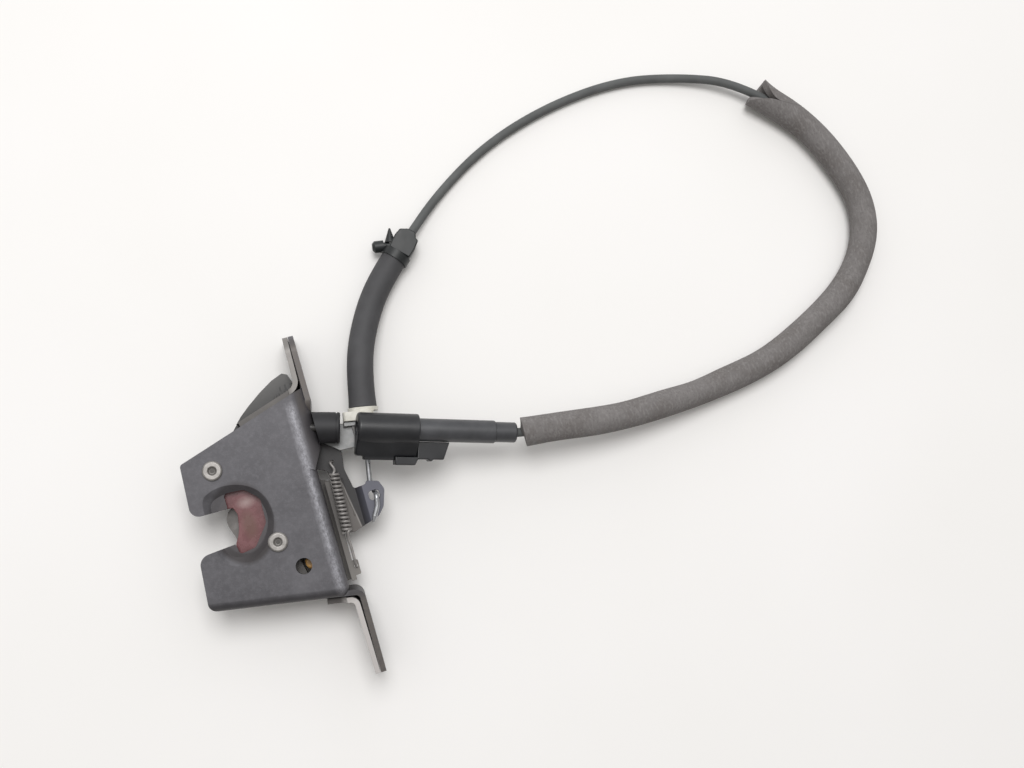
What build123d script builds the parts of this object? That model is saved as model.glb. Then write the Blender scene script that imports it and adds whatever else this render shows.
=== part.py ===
from build123d import *
import os
from math import atan, cos, degrees, radians, sin, tan

os.makedirs("parts", exist_ok=True)

# Seat backrest latch with its release cable, in mm.
# X points out of the mounting face, Y runs along the two ear holes, Z points to the front plate.
# The origin is midway between the ear holes, on the mounting face.

# Sheet metal
front_t = 2.3
rear_t = 2.2
face_top = 15.0
face_low = face_top - front_t
rear_top = -4.0
rear_low = rear_top - rear_t
wall_low = rear_top + 0.3
floor_z = -12.0

# Ears on the mounting face
ear_hole_y = 63.0
ear_hole_r = 3.5
upper_ear_tip_y = 74.8
lower_ear_tip_y = 73.6
ear_half_width = 12.0
ear_corner_r = 8.0
ear_gap = 0.7
ear_tip_gap = 0.2

# Front plate's slanted edges: Y at X = 0 and the slope
lower_y0 = -40.2
lower_slope = -0.183
upper_y0 = 51.95
upper_slope = 0.3224
flange_x = -5.5
flare_x = -1.2
bend_r = 3.8
flare_bend_r = 7.4
flare_low_y = 22.0

# Pivots
claw_xy = (-28.6, -8.6)
pawl_xy = (-46.6, 27.3)
rivet_r = 3.0
rivet_head_r = 4.15
bush_r = 4.5
pivot_play = 0.05

# Claw and pawl lever, by height
core_low = 0.0
core_top = 3.9
skin_top = 10.0
cam_r = 29.7
lever_low = 0.4
lever_t = 3.0
lever_rise = 3.4
nose_gap = 0.35

# Striker that the throat takes
striker_r = 4.0
throat_low_y = -4.6
throat_high_y = 10.35

# Release cable's end at the latch: one straight axis through the lever's tab
rod_r = 1.1
rod_leg = (13.8, -1.2)
rod_z = 2.4
rod_top_z = 8.2
cable_dir = Vector(0.180, 0.984, 0).normalized()
fitting_start = 28.54

# Cable, sleeves and their far end
conduit_r = 2.0
hose_r = 5.8
hose_bore_r = 3.1
foam_r = 6.5
foam_bore_r = 2.1
coupling_start = Vector(14.6, 28.4, 17.2)
coupling_end = Vector(81.6, 7.7, 9.0)
body_r = 6.8
body_start = 0.7
body_len = 27.0
barrel_r = 5.0
barrel_end = 61.0
tip_r = 4.45


def lower_y(x):
    return lower_y0 + lower_slope * x


def upper_y(x):
    return upper_y0 + upper_slope * x


def corner(shape, x, y):
    return shape.vertices().sort_by_distance((x, y, shape.vertices()[0].Z))[0]


def ear_outline(plane, start_y, tip_y, side):
    # one ear seen along X: a strip from start_y to the rounded tip, with its hole
    length = tip_y - start_y
    with BuildSketch(plane) as ear:
        with Locations((side * (start_y + length / 2), 0)):
            Rectangle(length, 2 * ear_half_width)
        tips = ear.vertices().sort_by(Axis.Y)
        fillet(tips[-2:] if side > 0 else tips[:2], ear_corner_r)
        with Locations((side * ear_hole_y, 0)):
            Circle(ear_hole_r, mode=Mode.SUBTRACT)
    return ear.sketch


ear_plane = Plane(origin=(-20, 0, 0), x_dir=(0, 1, 0), z_dir=(1, 0, 0))


# Front plate: the pressed outside, as a block with rounded bends
contour = [
    (-58.6, upper_y(-58.6), 1.5),
    (-59.8, throat_high_y + 0.2, 4.0),
    (-44.8, throat_high_y, 0.8),
    (-45.0, 16.9, 1.5),
    (-36.5, 16.4, 4.0),
    (-31.0, 11.0, 3.0),
    (-31.2, 0.6, 3.0),
    (-38.0, -8.2, 3.0),
    (-44.8, -9.2, 1.5),
    (-45.4, throat_low_y, 0.8),
    (-60.9, throat_low_y - 1.2, 4.5),
    (-62.6, lower_y(-62.6), 4.0),
    (flange_x, lower_y(flange_x), 0.0),
    (flange_x, upper_y(flange_x), 0.0),
]
dish = [
    (-51.5, 18.4),
    (-44.5, 20.0),
    (-37.3, 18.6),
    (-31.2, 14.6),
    (-28.0, 8.6),
    (-27.8, 0.6),
    (-30.4, -5.4),
    (-35.9, -10.7),
    (-42.2, -13.5),
    (-49.7, -12.1),
    (-53.4, -5.0),
    (-54.0, 8.0),
]
dish_centre = (-40.4, 2.9)
dish_depth = 1.6
dish_shrink = 0.8

with BuildPart() as pressing:
    with BuildSketch(Plane.XY.offset(wall_low)) as block_sketch:
        with BuildLine():
            Polyline(
                (-90, 70),
                (-90, lower_y(-90)),
                (flange_x, lower_y(flange_x)),
                (flange_x, 70),
                close=True,
            )
        make_face()
        fillet(corner(block_sketch, flange_x, lower_y(flange_x)), 4.0)
    extrude(amount=face_top - wall_low)
    top_edges = pressing.faces().sort_by(Axis.Z)[-1].edges()
    bends = top_edges.filter_by(lambda e: e.center().X > flange_x - 3 or e.center().Y < -10)
    fillet(bends, bend_r)
    with BuildSketch(Plane.XY.offset(wall_low)) as plate_sketch:
        with BuildLine():
            Polyline([(x, y) for x, y, r in contour], close=True)
        make_face()
        for x, y, r in contour:
            if r > 0:
                fillet(corner(plate_sketch, x, y), r)
    extrude(amount=face_top - wall_low, mode=Mode.INTERSECT)

with BuildPart() as pressing_inside:
    with BuildSketch(Plane.XY.offset(wall_low - 1)) as hollow_sketch:
        with BuildLine():
            inner_x = flange_x - front_t
            drop = front_t / cos(atan(lower_slope))
            Polyline(
                (-90, 70),
                (-90, lower_y(-90) + drop),
                (inner_x, lower_y(inner_x) + drop),
                (inner_x, 70),
                close=True,
            )
        make_face()
        fillet(corner(hollow_sketch, inner_x, lower_y(inner_x) + drop), 1.7)
    extrude(amount=face_low - wall_low + 1)
    inner_top = pressing_inside.faces().sort_by(Axis.Z)[-1].edges()
    fillet(inner_top.filter_by(lambda e: e.center().X > inner_x - 3 or e.center().Y < -10), 1.5)

# Upper part of the right edge, where the plate flares out to meet the bracket
with BuildPart() as flare:
    with BuildSketch(Plane.XY.offset(wall_low)):
        with BuildLine():
            Polyline(
                (-16, flare_low_y),
                (-6.0, flare_low_y - 6),
                (flare_x, flare_low_y + 3),
                (flare_x, upper_y(flare_x)),
                (-16, upper_y(-16)),
                close=True,
            )
        make_face()
    extrude(amount=face_top - wall_low)
    flare_top = flare.faces().sort_by(Axis.Z)[-1].edges()
    fillet(flare_top.filter_by(Axis.Y).sort_by(Axis.X)[-1], flare_bend_r)

with BuildPart() as flare_inside:
    with BuildSketch(Plane.XY.offset(wall_low - 1)):
        with BuildLine():
            Polyline(
                (-16, flare_low_y + 2),
                (-8.4, flare_low_y - 3),
                (flare_x - front_t, flare_low_y + 5),
                (flare_x - front_t, 70),
                (-16, 70),
                close=True,
            )
        make_face()
    extrude(amount=face_low - wall_low + 1)
    inside_top = flare_inside.faces().sort_by(Axis.Z)[-1].edges()
    right_edge = inside_top.filter_by(Axis.Y).sort_by(Axis.X)[-1]
    fillet(right_edge, flare_bend_r - front_t)

# Outer ear sheets, bent from the plate's walls
upper_ear_route = [
    (flare_x - front_t / 2, 38),
    (flare_x - front_t / 2, 41.5),
    (-front_t / 2, 46),
    (-front_t / 2, upper_ear_tip_y + 1),
]
front_wall_mid = front_t / 2 / cos(atan(lower_slope))
lower_ear_route = [
    (-11.0, lower_y(-11.0) + front_wall_mid),
    (-front_t / 2, lower_y(-front_t / 2) + front_wall_mid),
    (-front_t / 2, -lower_ear_tip_y - 1),
]

with BuildPart() as front_upper_ear:
    with BuildSketch(Plane.XY.offset(-ear_half_width)):
        with BuildLine():
            FilletPolyline(upper_ear_route, radius=2.5)
        trace(line_width=front_t)
    extrude(amount=2 * ear_half_width)
    extrude(ear_outline(ear_plane, 38, upper_ear_tip_y, 1), amount=40, mode=Mode.INTERSECT)

with BuildPart() as front_lower_ear:
    with BuildSketch(Plane.XY.offset(-ear_half_width)):
        with BuildLine():
            FilletPolyline(lower_ear_route, radius=3.2)
        trace(line_width=front_t)
    extrude(amount=2 * ear_half_width)
    extrude(ear_outline(ear_plane, 30, lower_ear_tip_y, -1), amount=40, mode=Mode.INTERSECT)

# Axis of the buffer, across the upper end of the right edge
buffer_dir = Vector(0.961, -0.277, 0)
buffer_z = 11.0
buffer_base = Plane(origin=(2.4, 32.3, buffer_z), x_dir=(0, 0, 1), z_dir=buffer_dir)
stud_r = 1.7

with BuildPart() as dish_cut:
    for depth, shrink in ((0, 1.0), (dish_depth, dish_shrink)):
        cx, cy = dish_centre
        with BuildSketch(Plane.XY.offset(face_top - depth)):
            with BuildLine():
                Spline([(cx + shrink * (x - cx), cy + shrink * (y - cy)) for x, y in dish], periodic=True)
            make_face()
    loft()

with BuildPart() as front_plate:
    add(pressing.part)
    add(flare.part)
    add(pressing_inside.part, mode=Mode.SUBTRACT)
    add(flare_inside.part, mode=Mode.SUBTRACT)
    # the lower wall is shallower than the right one
    with Locations((-52, 0, -1.0)):
        Box(80, 120, 6, mode=Mode.SUBTRACT)
    # gap in the right walls for the lever's arm
    with Locations((-4, 26, 2.2)):
        Box(12, 24, 6.4, mode=Mode.SUBTRACT)
    add(front_upper_ear.part)
    add(front_lower_ear.part)
    # dished edge round the window
    add(dish_cut.part, mode=Mode.SUBTRACT)
    # rivet holes, the round sight hole and the stud's hole
    with Locations((*claw_xy, 0), (*pawl_xy, 0)):
        Cylinder(rivet_r + 0.05, 60, mode=Mode.SUBTRACT)
    with Locations((-21.1, -21.3, 10)):
        Cylinder(3.4, 20, mode=Mode.SUBTRACT)
    with BuildSketch(buffer_base.offset(-12)):
        Circle(stud_r + 0.05)
    extrude(amount=14, mode=Mode.SUBTRACT)
front_plate.part.label = "front_plate"
export_step(front_plate.part, "parts/front_plate.step")


# Rear case: flat plate, two walls outside the front plate's edges, inner ear sheets
rear_x = -front_t - ear_gap - rear_t / 2
rear_tip_x = -front_t - ear_tip_gap - rear_t / 2
upper_wall_out = 1.45
lower_wall_out = (ear_gap + rear_t / 2) / cos(atan(lower_slope))

with BuildPart() as rear_upper_wall:
    with BuildSketch(Plane.XY.offset(-ear_half_width)):
        with BuildLine():
            FilletPolyline(
                (-31.5, upper_y(-31.5) + upper_wall_out),
                (rear_x, upper_y(rear_x) + upper_wall_out),
                (rear_tip_x, upper_ear_tip_y + 1),
                radius=5.0,
            )
        trace(line_width=rear_t)
    extrude(amount=2 * ear_half_width)
    extrude(ear_outline(ear_plane.offset(-40), 30, upper_ear_tip_y, 1), amount=80, mode=Mode.INTERSECT)
    with Locations((-30, 40, -9.1)):
        Box(48, 40, 5.8, mode=Mode.SUBTRACT)
    with Locations((-30, 40, 12.0)):
        Box(44, 40, 5.0, mode=Mode.SUBTRACT)

with BuildPart() as rear_lower_wall:
    with BuildSketch(Plane.XY.offset(-ear_half_width)):
        with BuildLine():
            FilletPolyline(
                (-16, lower_y(-16) - lower_wall_out),
                (rear_x, lower_y(rear_x) - lower_wall_out),
                (rear_tip_x, -lower_ear_tip_y - 1),
                radius=3.0,
            )
        trace(line_width=rear_t)
    extrude(amount=2 * ear_half_width)
    extrude(ear_outline(ear_plane.offset(-40), 20, lower_ear_tip_y, -1), amount=80, mode=Mode.INTERSECT)
    with Locations((-34, -30, -9.1)):
        Box(48, 40, 5.8, mode=Mode.SUBTRACT)
    with Locations((-34, -30, 11.0)):
        Box(52, 40, 6.0, mode=Mode.SUBTRACT)

rear_contour = [
    (-52.0, upper_y(-52.0) - 2, 3.0),
    (-54.0, throat_high_y + 1.5, 3.0),
    (-40.0, throat_high_y + 1.5, 6.0),
    (-40.0, throat_low_y - 1.2, 6.0),
    (-55.0, throat_low_y - 1.2, 3.0),
    (-54.0, lower_y(-54.0) + 1.0, 3.0),
    (-26.0, lower_y(-26.0) + 1.0, 0.0),
    (-16.0, lower_y(-16.0) - lower_wall_out, 0.0),
    (-11.3, lower_y(-11.3) - lower_wall_out, 0.0),
    (-11.3, -34.0, 0.0),
    (-1.6, -34.0, 0.0),
    (-1.6, 10.0, 2.0),
    (-8.5, 13.0, 2.0),
    (-8.5, upper_y(-8.5) + upper_wall_out, 0.0),
    (-31.5, upper_y(-31.5) + upper_wall_out, 0.0),
    (-31.5, upper_y(-31.5) - 2, 0.0),
]
anchor_x = -0.4
anchor_y = -28.4

with BuildPart() as rear_case:
    with BuildSketch(Plane.XY.offset(rear_low)) as rear_sketch:
        with BuildLine():
            Polyline([(x, y) for x, y, r in rear_contour], close=True)
        make_face()
        for x, y, r in rear_contour:
            if r > 0:
                fillet(corner(rear_sketch, x, y), r)
    extrude(amount=rear_t)
    add(rear_upper_wall.part)
    add(rear_lower_wall.part)
    # upturned edge beside the spring, with the spring's anchor tab
    with Locations((-2.7, -12.0, -1.1)):
        Box(rear_t, 44, 10.2)
    with BuildSketch(Plane.XY.offset(1.8)) as anchor_sketch:
        with Locations((-1.1, anchor_y - 0.6)):
            Rectangle(4.0, 6.4)
        fillet(anchor_sketch.vertices().sort_by(Axis.X)[-2:], 0.8)
        with Locations((anchor_x, anchor_y)):
            Circle(0.8, mode=Mode.SUBTRACT)
    extrude(amount=2.2)
    with Locations((*claw_xy, 0), (*pawl_xy, 0)):
        Cylinder(rivet_r + 0.05, 40, mode=Mode.SUBTRACT)
rear_case.part.label = "rear_case"
export_step(rear_case.part, "parts/rear_case.step")


# Moulded rear cover: a tray under the rear plate and a dome beyond the upper wall
cover_top = rear_low - 0.1
dome_top = 4.0

with BuildPart() as dome:
    with BuildSketch(Plane.XY.offset(floor_z + 0.6)) as dome_sketch:
        with BuildLine():
            Polyline(
                (-33.2, upper_y(-33.2) + 2.9),
                (-30.6, 46.9),
                (-26.1, 50.6),
                (-20.1, 54.9),
                (-14.0, 58.6),
                (-9.0, 60.5),
                (-6.8, 59.4),
                (-5.9, 56.6),
                (-5.9, 54.4),
                (-9.5, upper_y(-9.5) + 2.9),
                close=True,
            )
        make_face()
    extrude(amount=dome_top - floor_z - 3.4)
    extrude(dome.faces().sort_by(Axis.Z)[-1], amount=2.8, taper=35)

with BuildPart() as rear_cover:
    with BuildSketch(Plane.XY.offset(floor_z)) as tray_sketch:
        with BuildLine():
            Polyline(
                (-40.5, -18),
                (-14.0, -26),
                (-9.5, -24),
                (-9.5, 52.0),
                (-33.0, upper_y(-33) + 4.0),
                (-40.5, 37.0),
                close=True,
            )
        make_face()
        fillet(tray_sketch.vertices(), 2.5)
    extrude(amount=cover_top - floor_z)
    fillet(rear_cover.faces().sort_by(Axis.Z)[0].edges(), 1.2)
    # pocket that clears the rivets
    with BuildSketch(Plane.XY.offset(cover_top - 3.6)) as pocket_sketch:
        with BuildLine():
            Polyline((-38, -15), (-15, -22), (-12, -21), (-12, 44), (-38, 35), close=True)
        make_face()
        fillet(pocket_sketch.vertices(), 2.0)
    extrude(amount=3.6, mode=Mode.SUBTRACT)
    add(dome.part)
    # small ribs at the dome's right end
    for x in (-14.0, -11.5, -9.0):
        with Locations((x, upper_y(x) + 3.6, dome_top - 2)):
            Box(0.9, 1.4, 5.0)
rear_cover.part.label = "rear_cover"
export_step(rear_cover.part, "parts/rear_cover.step")


# Claw: a steel fork with a moulded skin on its front side, shown open
seat_xy = (-50.3, -7.9)
seat_r = striker_r + 0.4
core_points = [
    (-45.9, -7.9),
    (-45.2, -3.6),
    (-46.4, 0.4),
    (-47.4, 5.0),
    (-45.8, 9.0),
    (-43.6, 10.4),
    (-44.8, 16.0),
]


def on_cam(radius, angle):
    a = radians(angle)
    return (claw_xy[0] + radius * cos(a), claw_xy[1] + radius * sin(a))


with BuildPart() as claw_core:
    with BuildSketch(Plane.XY.offset(core_low)) as core_sketch:
        with BuildLine():
            Spline(core_points[:-1])
            Line(core_points[-2], core_points[-1])
            Line(core_points[-1], on_cam(cam_r, 122))
            ThreePointArc(on_cam(cam_r, 122), on_cam(cam_r, 105), on_cam(cam_r, 90))
            Line(on_cam(cam_r, 90), on_cam(16, 62))
            Line(on_cam(16, 62), on_cam(9, -10))
            Line(on_cam(9, -10), on_cam(12, -58))
            Line(on_cam(12, -58), on_cam(20, -66))
            Line(on_cam(20, -66), on_cam(20, -88))
            Line(on_cam(20, -88), on_cam(15, -112))
            Line(on_cam(15, -112), on_cam(27.5, -163))
            Line(on_cam(27.5, -163), on_cam(29.4, -172))
            ThreePointArc(on_cam(29.4, -172), on_cam(29.4, -176), on_cam(29.4, 178.5))
            Line(on_cam(29.4, 178.5), (seat_xy[0] - seat_r, seat_xy[1]))
            ThreePointArc(
                (seat_xy[0] - seat_r, seat_xy[1]),
                (seat_xy[0], seat_xy[1] - seat_r),
                (seat_xy[0] + seat_r, seat_xy[1]),
            )
        make_face()
        rounded = [on_cam(16, 62), on_cam(9, -10), on_cam(12, -58), on_cam(15, -112)]
        for x, y in rounded:
            fillet(corner(core_sketch, x, y), 3.0)
        for x, y in (on_cam(20, -66), on_cam(20, -88)):
            fillet(corner(core_sketch, x, y), 2.5)
        with Locations(claw_xy):
            Circle(bush_r + pivot_play, mode=Mode.SUBTRACT)
    extrude(amount=core_top - core_low)
    chamfer(claw_core.faces().sort_by(Axis.Z)[0].edges().filter_by(GeomType.CIRCLE), 0.3)
claw_core.part.label = "claw_core"
export_step(claw_core.part, "parts/claw_core.step")

with BuildPart() as claw_overmould:
    with BuildSketch(Plane.XY.offset(core_top)) as skin_sketch:
        with BuildLine():
            Spline((-45.9, -7.9), (-45.6, -4.8), (-43.9, -1.6), (-42.5, 3.1), (-41.9, 7.2))
            Line((-41.9, 7.2), (-43.0, 10.1))
            Line((-43.0, 10.1), (-50.6, 11.2))
            Line((-50.6, 11.2), (-51.0, 15.0))
            Line((-51.0, 15.0), (-46.2, 19.2))
            ThreePointArc((-46.2, 19.2), (-38.6, 21.0), on_cam(29.0, 92))
            Line(on_cam(29.0, 92), on_cam(14, 60))
            Line(on_cam(14, 60), on_cam(8.6, -20))
            Line(on_cam(8.6, -20), on_cam(12, -110))
            Line(on_cam(12, -110), on_cam(27.0, -164))
            Line(on_cam(27.0, -164), on_cam(28.6, 179))
            Line(on_cam(28.6, 179), (seat_xy[0] - seat_r + 0.2, seat_xy[1]))
            ThreePointArc(
                (seat_xy[0] - seat_r + 0.2, seat_xy[1]),
                (seat_xy[0], seat_xy[1] - seat_r),
                (seat_xy[0] + seat_r, seat_xy[1]),
            )
        make_face()
        for x, y in (on_cam(14, 60), on_cam(8.6, -20), on_cam(12, -110)):
            fillet(corner(skin_sketch, x, y), 3.0)
        for x, y in ((-43.0, 10.1), (-50.6, 11.2), (-51.0, 15.0), (-46.2, 19.2)):
            fillet(corner(skin_sketch, x, y), 1.0)
        with Locations(claw_xy):
            Circle(bush_r + pivot_play, mode=Mode.SUBTRACT)
    extrude(amount=skin_top - core_top)
claw_overmould.part.label = "claw_overmould"
export_step(claw_overmould.part, "parts/claw_overmould.step")


# Pawl and release lever: one plate, seen from above and from the side
lever_top = lever_low + lever_t
nose_r = cam_r + nose_gap
tab_slot_xy = (15.1, -1.2)
hook_xy = (1.4, 17.4)
lever_points = [
    (-44.0, 35.0, 0.0),
    (-9.0, 31.8, 3.0),
    (0.6, 31.0, 3.0),
    (6.4, 28.6, 2.0),
    (6.7, 20.0, 3.0),
    (5.8, 13.0, 4.0),
    (7.5, 3.8, 1.2),
    (12.6, 4.3, 0.8),
    (13.4, 5.6, 0.8),
    (18.4, 4.2, 1.8),
    (20.0, 0.2, 2.5),
    (17.7, -7.0, 3.0),
    (14.6, -10.4, 2.0),
    (3.3, -14.2, 2.0),
    (-0.9, -13.8, 1.5),
    (-0.9, 14.0, 3.0),
    (-8.0, 17.6, 3.0),
    (-13.0, 20.3, 3.0),
    (-30.0, 22.4, 1.0),
]

with BuildPart() as pawl_lever:
    with BuildSketch(Plane.XY.offset(lever_low)) as lever_sketch:
        with BuildLine():
            Polyline([(x, y) for x, y, r in lever_points])
            Line((-30.0, 22.4), on_cam(nose_r, 99.0))
            ThreePointArc(on_cam(nose_r, 99.0), on_cam(nose_r, 102.5), on_cam(nose_r, 106.0))
            Polyline(on_cam(nose_r, 106.0), (-39.5, 22.6), (-44.0, 21.0), (-44.0, 35.0))
        make_face()
        for x, y, r in lever_points:
            if r > 0:
                fillet(corner(lever_sketch, x, y), r)
        with Locations(pawl_xy):
            Circle(7.8)
        with Locations(pawl_xy):
            Circle(bush_r + pivot_play, mode=Mode.SUBTRACT)
        with Locations(tab_slot_xy):
            RectangleRounded(4.7, 4.2, 1.6, mode=Mode.SUBTRACT)
        # eye for the spring's hook
        with Locations(hook_xy):
            Circle(0.9, mode=Mode.SUBTRACT)
    extrude(amount=lever_t + lever_rise)
    with BuildSketch(Plane.XZ.offset(-40)):
        with BuildLine():
            Polyline(
                (-70, lever_low),
                (9.0, lever_low),
                (11.9, lever_low + lever_rise),
                (30, lever_low + lever_rise),
                (30, lever_top + lever_rise),
                (10.9, lever_top + lever_rise),
                (8.0, lever_top),
                (-70, lever_top),
                close=True,
            )
        make_face()
    extrude(amount=80, mode=Mode.INTERSECT)
    # pressed bead beside the spring
    with BuildSketch(Plane.XY.offset(lever_top)):
        with BuildLine():
            Polyline((3.7, 9.5), (3.8, 3.3), (4.3, -1.3), (5.1, -5.0), (4.9, -7.4))
        trace(line_width=0.6)
    extrude(amount=0.4)
pawl_lever.part.label = "pawl_lever"
export_step(pawl_lever.part, "parts/pawl_lever.step")


# Rivets and the bushes that space the two plates
for name, (x, y) in (("claw", claw_xy), ("pawl", pawl_xy)):
    with BuildPart() as rivet:
        with BuildSketch(Plane.XZ):
            with BuildLine():
                Polyline(
                    (0, rear_low - 1.5),
                    (3.4, rear_low - 1.5),
                    (4.0, rear_low),
                    (rivet_r, rear_low),
                    (rivet_r, face_top),
                    (rivet_head_r, face_top),
                    (rivet_head_r, face_top + 0.7),
                    (rivet_head_r - 0.6, face_top + 1.3),
                    (1.9, face_top + 1.3),
                    (1.25, face_top + 0.1),
                    (0, face_top + 0.1),
                    close=True,
                )
            make_face()
        revolve(axis=Axis.Z)
    with BuildPart() as bush:
        with BuildSketch(Plane.XY.offset(rear_top)):
            Circle(bush_r)
            Circle(rivet_r + 0.02, mode=Mode.SUBTRACT)
        extrude(amount=face_low - rear_top)
    rivet_part = rivet.part.moved(Location((x, y, 0)))
    rivet_part.label = name + "_rivet"
    export_step(rivet_part, "parts/" + name + "_rivet.step")
    bush_part = bush.part.moved(Location((x, y, 0)))
    bush_part.label = name + "_bush"
    export_step(bush_part, "parts/" + name + "_bush.step")


# Buffer that stops the claw's tail, seen in the sight hole
with BuildPart() as claw_stop:
    with BuildSketch(Plane.XY.offset(rear_top)):
        with Locations((-17.3, -20.9)):
            Circle(3.2)
    extrude(amount=13.5)
    fillet(claw_stop.faces().sort_by(Axis.Z)[-1].edges(), 1.0)
claw_stop.part.label = "claw_stop"
export_step(claw_stop.part, "parts/claw_stop.step")


# Springs, wound close: a row of turns about one axis, and their legs
def coil_profile(inner, wire, pitch, turns):
    # half section of a coil: one bead for each turn, on one thin wall
    with BuildSketch(Plane.XZ) as beads:
        with Locations([(inner + wire / 2, pitch * (i + 0.5)) for i in range(turns)]):
            Circle(wire / 2)
        with Locations((inner + wire / 2, pitch * turns / 2)):
            Rectangle(wire * 0.55, pitch * (turns - 1))
    return beads.sketch


claw_spring_wire = 1.1
with BuildPart() as claw_spring:
    add(coil_profile(bush_r + 0.5, claw_spring_wire, 1.25, 3))
    revolve(axis=Axis.Z)
    with BuildSketch(Plane.YZ.offset(0)):
        with Locations((bush_r + 0.5 + claw_spring_wire / 2, claw_spring_wire / 2)):
            Circle(claw_spring_wire / 2)
    extrude(amount=13)
claw_spring_part = claw_spring.part.moved(Location((*claw_xy, rear_top + 0.05)))
claw_spring_part.label = "claw_spring"
export_step(claw_spring_part, "parts/claw_spring.step")

spring_wire = 1.1
spring_r = 2.3
spring_pitch = 1.7
spring_turns = 15
turn_r = spring_r - spring_wire / 2
spring_top = Vector(0.95, 12.4, 7.4)
spring_low = Vector(-0.15, -13.2, 7.4)
spring_axis = (spring_low - spring_top).normalized()
spring_plane = Plane(origin=spring_top, x_dir=(0, 0, 1), z_dir=spring_axis)

with BuildPart() as spring_coil:
    add(coil_profile(spring_r - spring_wire, spring_wire, spring_pitch, spring_turns))
    revolve(axis=Axis.Z)

with BuildPart() as spring_hook:
    with BuildLine() as hook_path:
        FilletPolyline(
            spring_top + Vector(0, -0.6, turn_r),
            spring_top + Vector(0, 1.6, turn_r),
            (*hook_xy, spring_top.Z),
            (*hook_xy, lever_low - 0.7),
            radius=[1.0, 1.6],
        )
    with BuildSketch(Plane(origin=hook_path.line @ 0, z_dir=hook_path.line % 0)):
        Circle(spring_wire / 2)
    sweep()

with BuildPart() as spring_leg:
    with BuildLine() as leg_path:
        FilletPolyline(
            spring_low + Vector(0, 0.6, turn_r),
            spring_low + Vector(0, -1.6, turn_r),
            (anchor_x, anchor_y, spring_low.Z),
            (anchor_x, anchor_y, 1.1),
            radius=[1.0, 1.6],
        )
    with BuildSketch(Plane(origin=leg_path.line @ 0, z_dir=leg_path.line % 0)):
        Circle(spring_wire / 2)
    sweep()

with BuildPart() as lever_spring:
    add(spring_plane.from_local_coords(spring_coil.part))
    add(spring_hook.part)
    add(spring_leg.part)
lever_spring.part.label = "lever_spring"
export_step(lever_spring.part, "parts/lever_spring.step")


# Buffer sleeve and its stud; the bracket's foot passes under the sleeve
foot_x = flare_x + 0.05
foot_t = 1.6
foot_top = 7.9
plate_low = lever_top + 0.5
plate_t = 1.6
sleeve_r = 6.7
sleeve_end = 6.6

with BuildPart() as buffer_sleeve:
    with BuildSketch(buffer_base.offset(-8)):
        Circle(sleeve_r)
    extrude(amount=8 + sleeve_end)
    fillet(buffer_sleeve.faces().sort_by(Axis.X)[-1].edges(), 0.9)
    with BuildSketch(buffer_base.offset(sleeve_end - 1.9)):
        Circle(sleeve_r)
        Circle(sleeve_r - 0.4, mode=Mode.SUBTRACT)
    extrude(amount=0.6, mode=Mode.SUBTRACT)
    with BuildSketch(buffer_base.offset(-8)):
        Circle(stud_r + 0.05)
    extrude(amount=8 + sleeve_end - 1.2, mode=Mode.SUBTRACT)
    # seat on the plate, step over the foot and flat side above the bracket
    with Locations((flare_x + 0.02 - 20, 30, buffer_z)):
        Box(40, 40, 40, mode=Mode.SUBTRACT)
    with Locations((foot_x + foot_t + 0.05 - 20, 30, foot_top + 0.05 - 10)):
        Box(40, 40, 20, mode=Mode.SUBTRACT)
    with Locations((0, 30, plate_low + plate_t + 0.05 - 10)):
        Box(60, 40, 20, mode=Mode.SUBTRACT)
buffer_sleeve.part.label = "buffer_sleeve"
export_step(buffer_sleeve.part, "parts/buffer_sleeve.step")

with BuildPart() as buffer_stud:
    with BuildSketch(buffer_base.offset(-7.5)):
        Circle(stud_r)
    extrude(amount=7.5 + sleeve_end - 1.3)
    chamfer(buffer_stud.edges().filter_by(GeomType.CIRCLE), 0.4)
buffer_stud.part.label = "buffer_stud"
export_step(buffer_stud.part, "parts/buffer_stud.step")


# Release cable's end: a local frame with z along the cable and y upwards
def at_cable(distance):
    start = Vector(*rod_leg, rod_z) + cable_dir * distance
    return Plane(origin=start, x_dir=(-cable_dir.Y, cable_dir.X, 0), z_dir=cable_dir)


fitting_len = 15.0
with BuildPart() as conduit_fitting:
    with BuildSketch(at_cable(fitting_start)):
        Circle(4.6)
    extrude(amount=2.0)
    with BuildSketch(at_cable(fitting_start + 2.0)):
        Circle(3.4)
    extrude(amount=2.2)
    with BuildSketch(at_cable(fitting_start + 4.2)) as fitting_flange:
        with Locations((2.4, 2.0)):
            RectangleRounded(13.4, 13.0, 1.5)
    extrude(amount=4.0)
    with BuildSketch(at_cable(fitting_start + 8.2)):
        Circle(6.6)
    extrude(amount=1.8)
    with BuildSketch(at_cable(fitting_start + 10.0)):
        Circle(hose_bore_r - 0.1)
    extrude(amount=fitting_len - 10.0)
    with BuildSketch(at_cable(fitting_start)):
        Circle(rod_r + 0.08)
    extrude(amount=fitting_len - 1.0, mode=Mode.SUBTRACT)
conduit_fitting.part.label = "conduit_fitting"
export_step(conduit_fitting.part, "parts/conduit_fitting.step")

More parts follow.
